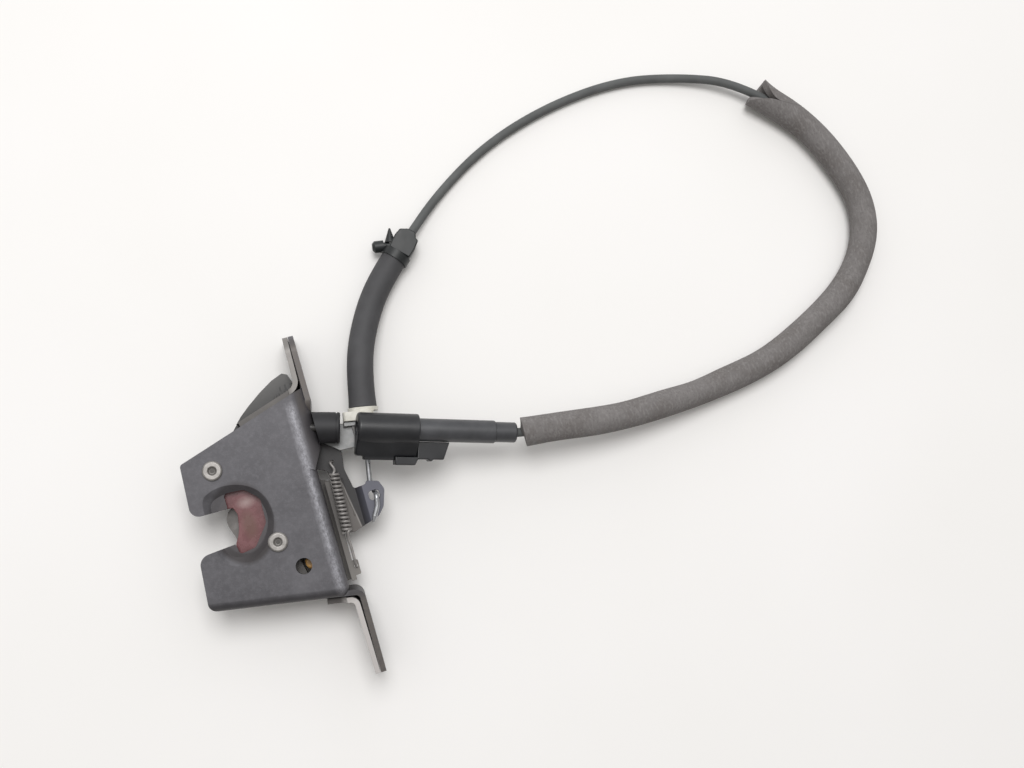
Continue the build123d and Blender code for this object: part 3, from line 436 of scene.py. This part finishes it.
def coverMaterial():
    # painted shade where it runs in under the plate, with three slits near its tip
    look = coverLook
    material, tree, shader, place, tone = baseFinish("mouldedNylonCover", look)
    inMm, across = placeInMm(tree, place)[:2]
    beyondEdge = aboveSlope(tree, inMm, look["plateEdgeSlope"])
    radius = ellipseRadius(tree, inMm, look["slitsMm"], look["slitsRadiiMm"])
    turned = addNode(tree, "ShaderNodeMath", [across, 2 * pi / look["slitStepMm"]], operation="MULTIPLY")
    wave = addNode(tree, "ShaderNodeMath", [turned], operation="SINE")
    paintOver(tree, shader, tone, [
        # painted shade under the plate's edge
        (look["underPlateShadeHex"], (beyondEdge, *look["underMm"], look["underPlateShadeStrength"], 0.0)),
        (look["slitHex"], (wave, *look["slitSpan"], 0.0, look["slitStrength"]),
         (radius, *look["slitsFade"], 1.0, 0.0)),
    ])
    return material


# Natural nylon of the fitting: milky white

whiteNylonLook = {
    "base": "#cfcdc4", "dark": "#bfbcb1", "light": "#dad8d0",
    "blotchMm": 4.0, "grainMm": 0.4, "grainStrength": 0.2,
    "roughness": 0.42, "glossSpread": 0.05, "metallic": 0.0, "ior": 1.53,
}

# Cast polyurethane stop: cloudy amber, waxy

amberLook = {
    "base": "#b58a4e", "dark": "#8d6a38", "light": "#d2b078",
    "blotchMm": 2.0, "grainMm": 0.4, "grainStrength": 0.2,
    "roughness": 0.35, "glossSpread": 0.05, "metallic": 0.0, "ior": 1.5,
}

# Extruded vinyl hose: smooth charcoal, matt, so that its highlight is broad and faint

hoseLook = {
    "base": "#434345", "dark": "#3d3d3f", "light": "#49494b",
    "blotchMm": 12.0, "grainMm": 0.4, "grainStrength": 0.12,
    "roughness": 0.66, "glossSpread": 0.04, "metallic": 0.0, "ior": 1.45,
}

# Extruded polypropylene jacket of the conduit: even mid grey, matt

conduitLook = {
    "base": "#5a5c5c", "dark": "#535555", "light": "#626464",
    "blotchMm": 10.0, "grainMm": 0.4, "grainStrength": 0.12,
    "roughness": 0.7, "glossSpread": 0.04, "metallic": 0.0, "ior": 1.4,
}

# Moulded acetal of the clip: black like the nylon, and duller

clipLook = {
    "base": "#1e2122", "dark": "#191c1d", "light": "#262929",
    "blotchMm": 6.0, "grainMm": 0.35, "grainStrength": 0.2,
    "roughness": 0.46, "glossSpread": 0.05, "metallic": 0.0, "ior": 1.48,
}

# Acetal skin of the claw, moulded over: dull red-brown and waxy, browner where the striker rubs, and
# with a painted highlight on the lobe above

clawLook = {
    "base": "#704648", "dark": "#643d3f", "light": "#7c5255",
    "blotchMm": 5.0, "grainMm": 0.4, "grainStrength": 0.2,
    "roughness": 0.27, "glossSpread": 0.05, "metallic": 0.0, "ior": 1.5,
    "wornMm": (-38.2, 1.5), "wornRadiiMm": (3.2, 6.5), "wornFade": (0.5, 1.2),
    "wornHex": "#64473f", "wornStrength": 0.8,
    "lobeHighlightMm": (-37.2, 11.0), "lobeHighlightRadiiMm": (4.4, 2.7), "lobeHighlightFade": (0.0, 1.1),
    "lobeHighlightHex": "#b09c99", "lobeHighlightStrength": 0.7,
}


def clawSkinMaterial():
    look = clawLook
    material, tree, shader, place, tone = baseFinish("mouldedAcetal", look)
    inMm = placeInMm(tree, place)[0]
    worn = ellipseRadius(tree, inMm, look["wornMm"], look["wornRadiiMm"])
    lobeHighlight = ellipseRadius(tree, inMm, look["lobeHighlightMm"], look["lobeHighlightRadiiMm"])
    paintOver(tree, shader, tone, [
        (look["wornHex"], (worn, *look["wornFade"], look["wornStrength"], 0.0)),
        # painted highlight on the lobe
        (look["lobeHighlightHex"], (lobeHighlight, *look["lobeHighlightFade"], look["lobeHighlightStrength"], 0.0)),
    ])
    return material


# Slit polyethylene foam: brown-grey skin, pitted with cells and flecked where it was pulled; the
# cells are drawn coarser than real, so that they show

foamLook = {
    "base": "#716e6d", "dark": "#676361", "light": "#7a7776",
    "blotchMm": 14.0, "grainMm": 0.9, "grainStrength": 0.5,
    "roughness": 0.92, "glossSpread": 0.03, "metallic": 0.0, "ior": 1.4,
    "cellMm": 1.1, "cellSpan": (0.05, 0.4), "cellHex": "#4d4a48", "cellStrength": 0.4,
    "fleckMm": 0.9, "fleckStretch": 0.35, "fleckSpan": (0.48, 0.72), "fleckHex": "#8b8887",
    "fleckStrength": 0.5,
}


def foamMaterial():
    look = foamLook
    material, tree, shader, place, tone = baseFinish("slitFoamSkin", look)
    cells = addNode(tree, "ShaderNodeTexVoronoi", {"Vector": place, "Scale": perMm(look["cellMm"])})
    pulled = addNode(tree, "ShaderNodeMapping", {"Vector": place, "Scale": (1.0, look["fleckStretch"], 1.0)})
    flecks = addNode(tree, "ShaderNodeTexNoise", {
        "Vector": pulled, "Scale": perMm(look["fleckMm"]), "Detail": 2.0})
    paintOver(tree, shader, tone, [
        (look["cellHex"], (cells, *look["cellSpan"], look["cellStrength"], 0.0)),
        (look["fleckHex"], (flecks, *look["fleckSpan"], 0.0, look["fleckStrength"])),
    ])
    return material


plateSteel = pressedSteelMaterial()
clawRivetSteel = rivetMaterial("zincPlatedSteel", (-28.6, -8.6))
pawlRivetSteel = rivetMaterial("zincPlatedSteelUpper", (-46.6, 27.3))
clawSteel = baseFinish("blankedSteel", steelLook)[0]
leverSteel = leverMaterial()
rearSteel = rearSheetMaterial()
bracketSteel = baseFinish("brightZincSheet", bracketLook)[0]
springWire = baseFinish("oiledSpringWire", springLook)[0]
rodWire = baseFinish("brightDrawnWire", rodLook)[0]
blackNylon = baseFinish("glassFilledNylon", nylonLook)[0]
barrelNylon = baseFinish("lighterGreyNylon", barrelLook)[0]
bufferRubber = baseFinish("bufferRubber", rubberLook)[0]
clipAcetal = baseFinish("clipAcetal", clipLook)[0]
coverNylon = coverMaterial()
whiteNylon = baseFinish("naturalNylon", whiteNylonLook)[0]
amberStop = baseFinish("castPolyurethane", amberLook)[0]
vinylHose = baseFinish("extrudedVinyl", hoseLook)[0]
conduitJacket = baseFinish("polypropyleneJacket", conduitLook)[0]
clawSkin = clawSkinMaterial()
foamSkin = foamMaterial()
print("materials ready")


# Rigid pieces: the CAD shapes with their edges broken

roundedCopy("front_plate", "frontPlate", plateSteel, "housing", 0.35, sharpDegrees=18.0)
roundedCopy("claw_overmould", "clawSkinMoulding", clawSkin, "claw", 1.8, segments=4)
for node, name, material, body, radius in [
    ("rear_case", "rearCase", rearSteel, "housing", 0.25),
    ("rear_cover", "rearCover", coverNylon, "housing", 0.7),
    ("claw_core", "clawCore", clawSteel, "claw", 0.3),
    ("claw_rivet", "clawRivet", clawRivetSteel, "housing", 0.25),
    ("pawl_rivet", "pawlRivet", pawlRivetSteel, "housing", 0.25),
    ("pawl_lever", "pawlLever", leverSteel, "lever", 0.25),
    ("claw_stop", "clawStop", amberStop, "housing", 0.3),
    ("buffer_sleeve", "bufferSleeve", bufferRubber, "housing", 0.35),
    ("cable_bracket", "cableBracket", bracketSteel, "housing", 0.25),
    ("conduit_fitting", "conduitFitting", whiteNylon, "housing", 0.35),
    ("cable_clip", "cableClip", clipAcetal, "housing", 0.5),
    ("coupling_body", "couplingBody", blackNylon, "housing", 0.6),
    ("coupling_lock", "couplingLock", blackNylon, "housing", 0.4),
    ("coupling_barrel", "couplingBarrel", barrelNylon, "housing", 0.3),
    ("barrel_tip", "barrelTip", barrelNylon, "housing", 0.3),
]:
    roundedCopy(node, name, material, body, radius)
for node, material in [("claw_bush", clawSteel), ("pawl_bush", clawSteel), ("buffer_stud", coverNylon),
                       ("cable_rod", rodWire), ("coupling_slider", rodWire), ("claw_spring", springWire)]:
    dress(nodes[node], material)
print("rigid pieces dressed")


# Tension spring: turns wound by a node tree, with a hook and a leg bent from the same wire

springShape = {
    "top": (0.95, 12.4, 7.4), "low": (-0.15, -13.2, 7.4),
    "turns": 15.0, "wireRadius": 0.58, "turnRadius": 1.75, "stepsPerTurn": 28, "stepsRoundWire": 10,
    "bendSteps": 8, "bendRoundness": 3,
    "hookXy": (1.4, 17.4), "hookLow": 0.0, "anchorXy": (-0.4, -28.4), "anchorLow": 1.2,
}


def windingTree(material):
    tree = bpy.data.node_groups.new("woundWire", "GeometryNodeTree")
    sockets = tree.interface
    for name, low in [("Turns", 1.0), ("Length", 0.0), ("Turn Radius", 0.0), ("Wire Radius", 0.0)]:
        socket = sockets.new_socket(name, in_out="INPUT", socket_type="NodeSocketFloat")
        socket.min_value = low
    sockets.new_socket("Geometry", in_out="OUTPUT", socket_type="NodeSocketGeometry")
    sizes = addNode(tree, "NodeGroupInput").outputs
    spiral = addNode(tree, "GeometryNodeCurveSpiral", {
        "Resolution": springShape["stepsPerTurn"], "Rotations": sizes["Turns"],
        "Start Radius": sizes["Turn Radius"], "End Radius": sizes["Turn Radius"], "Height": sizes["Length"]})
    section = addNode(tree, "GeometryNodeCurvePrimitiveCircle", {
        "Resolution": springShape["stepsRoundWire"], "Radius": sizes["Wire Radius"]})
    wire = addNode(tree, "GeometryNodeCurveToMesh", {
        "Curve": spiral, "Profile Curve": section, "Fill Caps": True})
    soft = addNode(tree, "GeometryNodeSetShadeSmooth", {"Geometry": wire})
    real = addNode(tree, "GeometryNodeRealizeInstances", {"Geometry": soft})
    dressed = addNode(tree, "GeometryNodeSetMaterial", {"Geometry": real, "Material": material})
    addNode(tree, "NodeGroupOutput", {"Geometry": dressed})
    return tree


def bakedNodes(name, tree, values):
    # runs a node tree on an empty mesh, with its inputs set by identifier, and keeps the result
    holder = linkedObject(name + "Holder", bpy.data.meshes.new(name + "Seed"))
    modifier = holder.modifiers.new("nodes", "NODES")
    modifier.node_group = tree
    for item in tree.interface.items_tree:
        if item.in_out == "INPUT" and item.name in values:
            modifier[item.identifier] = values[item.name]
    holder.update_tag()
    mesh = evaluatedMesh(holder)
    mesh.name = name
    bpy.data.objects.remove(holder)
    return mesh


def wireMesh(points, radius):
    # a wire bent near these points, as a mesh
    curve = bpy.data.curves.new("bentWire", "CURVE")
    curve.dimensions = "3D"
    spline = curve.splines.new("NURBS")
    spline.points.add(len(points) - 1)
    for point, place in zip(spline.points, points):
        point.co = (*[c * mm for c in place], 1.0)
    spline.order_u = 4
    spline.use_endpoint_u = True
    spline.resolution_u = springShape["bendSteps"]
    curve.bevel_depth = radius * mm
    curve.bevel_resolution = springShape["bendRoundness"]
    curve.use_fill_caps = True
    holder = linkedObject("bentWire", curve)
    mesh = evaluatedMesh(holder)
    bpy.data.objects.remove(holder)
    return mesh


def joinMeshes(name, meshes):
    shape = bmesh.new()
    for mesh in meshes:
        shape.from_mesh(mesh)
    joined = bpy.data.meshes.new(name)
    for face in shape.faces:
        face.smooth = True
    shape.to_mesh(joined)
    shape.free()
    return joined


def makeLeverSpring():
    s = springShape
    top = Vector(s["top"]) * mm
    low = Vector(s["low"]) * mm
    coil = bakedNodes("leverSpringCoil", windingTree(springWire), {
        "Turns": s["turns"], "Length": (top - low).length, "Turn Radius": s["turnRadius"] * mm,
        "Wire Radius": s["wireRadius"] * mm})
    turn = (top - low).to_track_quat("Z", "Y").to_matrix().to_4x4()
    coil.transform(Matrix.Translation(low) @ turn)
    topX, topY, topZ = s["top"]
    lowX, lowY, lowZ = s["low"]
    hookX, hookY = s["hookXy"]
    anchorX, anchorY = s["anchorXy"]
    lift = s["turnRadius"]
    # both ends leave the outermost turn at its top, run on and dip into their holes
    hook = wireMesh([
        (topX - 1.2, topY - 0.8, topZ + lift * 0.7),
        (topX, topY + 0.1, topZ + lift * 1.05),
        (topX + 0.9, topY + 1.3, topZ + lift * 0.6),
        (topX + 0.6, topY + 2.6, topZ + 0.2),
        (hookX - 0.9, hookY - 0.2, topZ + 0.2),
        (hookX - 0.4, hookY + 0.4, topZ - 1.2),
        (hookX, hookY, topZ - 4.0),
        (hookX, hookY, s["hookLow"]),
    ], s["wireRadius"])
    leg = wireMesh([
        (lowX + 1.2, lowY + 0.8, lowZ + lift * 0.7),
        (lowX, lowY - 0.1, lowZ + lift),
        (lowX - 0.6, lowY - 1.6, lowZ + 0.4),
        (lowX, lowY - 5.0, lowZ),
        (anchorX, anchorY + 2.0, lowZ),
        (anchorX, anchorY - 0.4, lowZ - 0.6),
        (anchorX, anchorY, s["anchorLow"]),
    ], s["wireRadius"])
    # the turns, the hook and the leg are joined into one piece
    piece = meshPiece("leverSpring", joinMeshes("leverSpring", [coil, hook, leg]), springWire)
    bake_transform(piece)
    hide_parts("lever_spring")


makeLeverSpring()
print("lever spring wound")


# Release cable: one route for the conduit, the hose and the foam

cableShape = {
    "rodLeg": (13.8, -1.2), "rodHeight": 2.4, "leaving": (0.180, 0.984, 0.0), "fittingStart": 28.54,
    "fittingLength": 15.0, "hoseFrom": 10.2,
    "couplingStart": (14.6, 28.4, 17.2), "couplingEnd": (81.6, 7.7, 9.0),
    "conduitRadius": 2.0, "hoseRadius": 5.8, "foamRadius": 6.5,
    "conduitHeight": -9.9, "hoseHeight": -6.1, "foamHeight": -5.4,
    "foamFromShare": 0.34, "foamShort": 1.5, "routeSteps": 14, "conduitRoundness": 6,
}


def cableRoute():
    c = cableShape
    leaving = Vector(c["leaving"]).normalized()
    leg = Vector((*c["rodLeg"], c["rodHeight"]))
    start = leg + leaving * (c["fittingStart"] + c["fittingLength"])
    end = Vector(c["couplingEnd"])
    along = (end - Vector(c["couplingStart"])).normalized()
    low = c["conduitHeight"]
    middle = c["hoseHeight"]
    soft = c["foamHeight"]
    return [
        start,
        start + leaving * 12.0,
        Vector((29.0, 67.5, -2.6)),
        Vector((37.6, 82.4, middle)),
        Vector((46.9, 93.0, middle)),
        Vector((61.2, 106.0, middle)),
        Vector((80.8, 123.1, low)),
        Vector((108.6, 140.0, low)),
        Vector((142.0, 150.8, low)),
        Vector((178.0, 155.2, low)),
        Vector((207.5, 150.4, low + 0.5)),
        Vector((233.5, 140.6, soft)),
        Vector((262.0, 114.8, soft)),
        Vector((278.8, 80.0, soft)),
        Vector((277.6, 54.5, soft)),
        Vector((263.0, 33.4, soft)),
        Vector((237.0, 17.6, soft)),
        Vector((207.0, 6.4, soft)),
        Vector((176.0, 1.9, soft + 1.0)),
        Vector((146.0, 0.9, 0.0)),
        Vector((121.0, 2.4, 4.3)),
        end + along * 2.8,
        end,
    ]


def routeCurve(name, points):
    curve = bpy.data.curves.new(name, "CURVE")
    curve.dimensions = "3D"
    spline = curve.splines.new("NURBS")
    spline.points.add(len(points) - 1)
    for point, place in zip(spline.points, points):
        point.co = (*(place * mm), 1.0)
    spline.order_u = 3
    spline.use_endpoint_u = True
    spline.resolution_u = cableShape["routeSteps"]
    curve.use_fill_caps = True
    return linkedObject(name, curve)


def splinePoints(piece):
    # the smooth line itself, read from the spline before it gets its thickness
    mesh = evaluatedMesh(piece)
    points = [v.co.copy() for v in mesh.vertices]
    bpy.data.meshes.remove(mesh)
    return points


def evenSteps(points, start, end, step):
    # places and directions at even steps along the line, from one distance to another
    lengths = [0.0]
    for a, b in zip(points, points[1:]):
        lengths.append(lengths[-1] + (b - a).length)
    count = max(2, round((end - start) / step))
    result = []
    k = 0
    for i in range(count + 1):
        wanted = start + (end - start) * i / count
        while k < len(points) - 2 and lengths[k + 1] < wanted:
            k += 1
        share = (wanted - lengths[k]) / (lengths[k + 1] - lengths[k])
        before = points[max(k - 1, 0)]
        after = points[min(k + 2, len(points) - 1)]
        result.append((points[k].lerp(points[k + 1], share), (after - before).normalized(), wanted))
    return result


def distanceAt(points, place):
    # how far along the line the nearest point to this place is
    travelled = 0.0
    best = (1e9, 0.0)
    for a, b in zip(points, points[1:]):
        best = min(best, ((a - place).length, travelled))
        travelled += (b - a).length
    return best[1]


sleeveSharpDegrees = 50.0


def sleeveMesh(name, steps, sectionAt):
    # a closed tube with its bore: each ring goes round outside and back inside
    shape = bmesh.new()
    rings = []
    for place, direction, distance in steps:
        side = direction.cross(Vector((0, 0, 1))).normalized()
        up = side.cross(direction).normalized()
        ring = []
        for across, height, forward in sectionAt(distance):
            ring.append(shape.verts.new(place + side * across + up * height + direction * forward))
        rings.append(ring)
    for first, second in zip(rings, rings[1:]):
        for i in range(len(first)):
            j = (i + 1) % len(first)
            shape.faces.new((first[i], first[j], second[j], second[i]))
    half = len(rings[0]) // 2
    for ring, flip in ((rings[0], False), (rings[-1], True)):
        for i in range(half - 1):
            corners = [ring[i], ring[i + 1], ring[-2 - i], ring[-1 - i]]
            shape.faces.new(corners[::-1] if flip else corners)
    bmesh.ops.recalc_face_normals(shape, faces=shape.faces)
    for face in shape.faces:
        face.smooth = True
    mesh = bpy.data.meshes.new(name)
    shape.to_mesh(mesh)
    shape.free()
    mesh.set_sharp_from_angle(angle=radians(sleeveSharpDegrees))
    return mesh


hoseShape = {
    "aroundSteps": 40, "boreMm": 3.3, "stepMm": 1.2, "flareMm": 0.35, "flareLengthMm": 4.0,
    "fullTurn": 0.9999,  # just short of closed, so that the section's two ends don't fall together
}


def makeHose(points, endDistance):
    h = hoseShape
    c = cableShape
    # it starts on the fitting, a little behind the cable's own start
    startTangent = (points[1] - points[0]).normalized()
    lead = (c["fittingLength"] - c["hoseFrom"]) * mm
    extended = [points[0] - startTangent * lead, *points]
    steps = evenSteps(extended, 0.0, lead + endDistance, h["stepMm"] * mm)
    count = h["aroundSteps"]

    def section(distance):
        flare = h["flareMm"] * exp(-distance / (h["flareLengthMm"] * mm))
        radius = (c["hoseRadius"] + flare) * mm
        outside = []
        inside = []
        for k in range(count + 1):
            angle = radians(-90) + 2 * pi * k / count * h["fullTurn"]
            outside.append((radius * cos(angle), radius * sin(angle), 0.0))
            inside.append((h["boreMm"] * mm * cos(angle), h["boreMm"] * mm * sin(angle), 0.0))
        return outside + inside[::-1]

    piece = meshPiece("hoseSleeve", sleeveMesh("hoseSleeve", steps, section), vinylHose, "housing")
    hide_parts("hose_sleeve")
    return piece


foamShape = {
    "aroundSteps": 56, "boreMm": 2.4, "stepMm": 1.0, "skinMm": 0.2,
    "slitDegrees": 0.5, "mouthDegrees": 56.0, "mouthLengthMm": 12.0, "mouthStandMm": 2.1,
    "mouthBoreMm": 1.2, "innerFlapMm": 2.2, "outerFlapMm": 2.0,
    "wanderMm": 0.28, "wanderPerMm": 0.11, "wanderTurnPerMm": 0.03,
    "endSlant": 0.13, "endLean": 0.25, "endLengthMm": 6.0,
    "turnDegrees": 130.0, "turnFromMm": 9.0, "turnLengthMm": 30.0,
}


def makeFoam(points, start, end):
    f = foamShape
    c = cableShape
    steps = evenSteps(points, start, end, f["stepMm"] * mm)
    count = f["aroundSteps"]

    def section(distance):
        # the slit gapes at the mouth, where its two flaps stand off the conduit, and soon closes
        fromMouth = (distance - start) / mm
        gape = max(0.0, 1.0 - fromMouth / f["mouthLengthMm"])
        gap = radians(f["slitDegrees"] + f["mouthDegrees"] * gape ** 2)
        past = min(1.0, max(0.0, (fromMouth - f["turnFromMm"]) / f["turnLengthMm"]))
        turned = radians(f["turnDegrees"]) * past * past * (3 - 2 * past)
        outside = []
        inside = []
        for k in range(count + 1):
            angle = radians(90) + turned + gap + (2 * pi - 2 * gap) * k / count
            lobe = sin(angle + fromMouth * f["wanderTurnPerMm"])
            wander = f["wanderMm"] * sin(fromMouth * f["wanderPerMm"] + 2.0 * lobe)
            radius = c["foamRadius"] + wander - f["skinMm"]
            outer = max(0.0, -cos(angle))
            inner = max(0.0, cos(angle))
            stand = f["mouthStandMm"] * gape ** 2 * outer
            forward = gape ** 1.5 * (f["outerFlapMm"] * outer - f["innerFlapMm"] * inner)
            nearEnd = max(0.0, 1.0 - (end - distance) / mm / f["endLengthMm"])
            forward += nearEnd * radius * (f["endSlant"] * cos(angle) + f["endLean"] * sin(angle))
            across = radius * cos(angle) - stand
            height = radius * sin(angle)
            outside.append((across * mm, height * mm, forward * mm))
            bore = f["boreMm"] + f["mouthBoreMm"] * gape ** 2
            inside.append(((bore * cos(angle) - stand) * mm, bore * sin(angle) * mm, forward * mm))
        return outside + inside[::-1]

    piece = meshPiece("foamSleeve", sleeveMesh("foamSleeve", steps, section), foamSkin, "housing")
    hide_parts("foam_sleeve")
    return piece


def makeCable():
    c = cableShape
    route = cableRoute()
    cable = routeCurve("releaseCable", route)
    points = splinePoints(cable)
    cable.data.bevel_depth = c["conduitRadius"] * mm
    cable.data.bevel_resolution = c["conduitRoundness"]
    dress(cable, conduitJacket)
    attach(cable, "housing")
    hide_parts("cable_conduit")
    # the hose ends at the first bend, and the foam runs from the far bend to just short of the coupling
    hoseEnd = (route[4] + route[5]) * 0.5 * mm
    hose = makeHose(points, distanceAt(points, hoseEnd))
    foamStart = route[11].lerp(route[12], c["foamFromShare"]) * mm
    foamEnd = (route[21] + (route[20] - route[21]).normalized() * c["foamShort"]) * mm
    foam = makeFoam(points, distanceAt(points, foamStart), distanceAt(points, foamEnd))


makeCable()


# Table, light and camera

stageLook = {
    "tableHex": "#f0efee", "tableShadeHex": "#edecea", "tableSizeMm": 3000.0, "tableGapMm": 0.15,
    "tableCloudMm": 160.0, "tableRoughness": 0.7,
    "windowSide": (0.03, 0.75, 0.66), "windowFade": (0.1, 0.95),
    "windowHex": "#fdfdfe", "windowStrength": 1.0, "roomHex": "#f9f5f0", "roomStrength": 0.3,
    "keyPlaceMm": (80.0, 545.0, 1410.0), "keyAimMm": (60.0, 20.0, 0.0),
    "keySizeMm": 800.0, "keyWatts": 12.8, "keyHex": "#fffefd",
}


def makeRoom():
    # soft light from the window's side, dimmer towards the other walls
    s = stageLook
    world = bpy.data.worlds.new("softRoom")
    bpy.context.scene.world = world
    world.use_nodes = True
    tree = world.node_tree
    sky = tree.nodes["Background"]
    towards = addNode(tree, "ShaderNodeTexCoord").outputs["Generated"]
    side = Vector(s["windowSide"]).normalized()
    facing = addNode(tree, "ShaderNodeVectorMath", [towards, side], operation="DOT_PRODUCT")
    share = addNode(tree, "ShaderNodeMapRange", [facing, *s["windowFade"]])
    strength = addNode(tree, "ShaderNodeMapRange", [
        facing, *s["windowFade"], s["roomStrength"], s["windowStrength"]])
    colour = addNode(tree, "ShaderNodeMix", {0: share, 6: s["roomHex"], 7: s["windowHex"]}, data_type="RGBA")
    tree.links.new(colour.outputs[2], sky.inputs["Color"])
    tree.links.new(strength.outputs["Result"], sky.inputs["Strength"])


def makeTable():
    # laminate, off-white with a faint cloudiness; it lies a hair below the latch's flat back
    s = stageLook
    half = s["tableSizeMm"] / 2 * mm
    level = floorHeight - s["tableGapMm"] * mm
    corners = [(-half, -half, level), (half, -half, level), (half, half, level), (-half, half, level)]
    mesh = bpy.data.meshes.new("table")
    mesh.from_pydata(corners, [], [(0, 1, 2, 3)])
    table = linkedObject("table", mesh)
    material, tree, shader, place = startMaterial("laminateTable")
    cloud = addNode(tree, "ShaderNodeTexNoise", {
        "Vector": place, "Scale": perMm(s["tableCloudMm"]), "Detail": 3.0})
    tone = addNode(tree, "ShaderNodeValToRGB", [cloud],
                   stops=[(0.3, s["tableShadeHex"]), (0.7, s["tableHex"])])
    tree.links.new(tone.outputs["Color"], shader.inputs["Base Color"])
    shader.inputs["Roughness"].default_value = s["tableRoughness"]
    dress(table, material)


def makeWindowLight():
    s = stageLook
    lamp = bpy.data.lights.new("windowLight", "AREA")
    lamp.shape = "DISK"
    lamp.size = s["keySizeMm"] * mm
    lamp.energy = s["keyWatts"]
    lamp.color = linearColour(s["keyHex"])[:3]
    key = linkedObject("windowLight", lamp)
    key.location = Vector(s["keyPlaceMm"]) * mm
    aim = Vector(s["keyAimMm"]) * mm - key.location
    key.rotation_euler = aim.to_track_quat("-Z", "Y").to_euler()


cameraShape = {
    "placeMm": (1.389, 10.323, 487.0), "aimMm": (89.847, 29.504, -12.0), "imageUp": (0.2661, 0.9603, 0.0841),
    "focalPixels": 1100.0, "imageWidthPixels": 1024.0, "sensorMm": 36.0, "clipMm": (10.0, 20000.0),
}


def makeCamera():
    c = cameraShape
    data = bpy.data.cameras.new("photoCamera")
    data.sensor_width = c["sensorMm"]
    data.lens = c["focalPixels"] / c["imageWidthPixels"] * c["sensorMm"]
    camera = linkedObject("photoCamera", data)
    place = Vector(c["placeMm"])
    forward = (Vector(c["aimMm"]) - place).normalized()
    right = forward.cross(Vector(c["imageUp"])).normalized()
    up = right.cross(forward)
    turn = Matrix((right, up, -forward)).transposed().to_4x4()
    camera.matrix_world = Matrix.Translation(place * mm) @ turn
    data.clip_start, data.clip_end = [distance * mm for distance in c["clipMm"]]
    bpy.context.scene.camera = camera


makeTable()
makeRoom()
makeWindowLight()
makeCamera()
bpy.context.scene.view_settings.view_transform = "Standard"
print("stage, light and camera set")
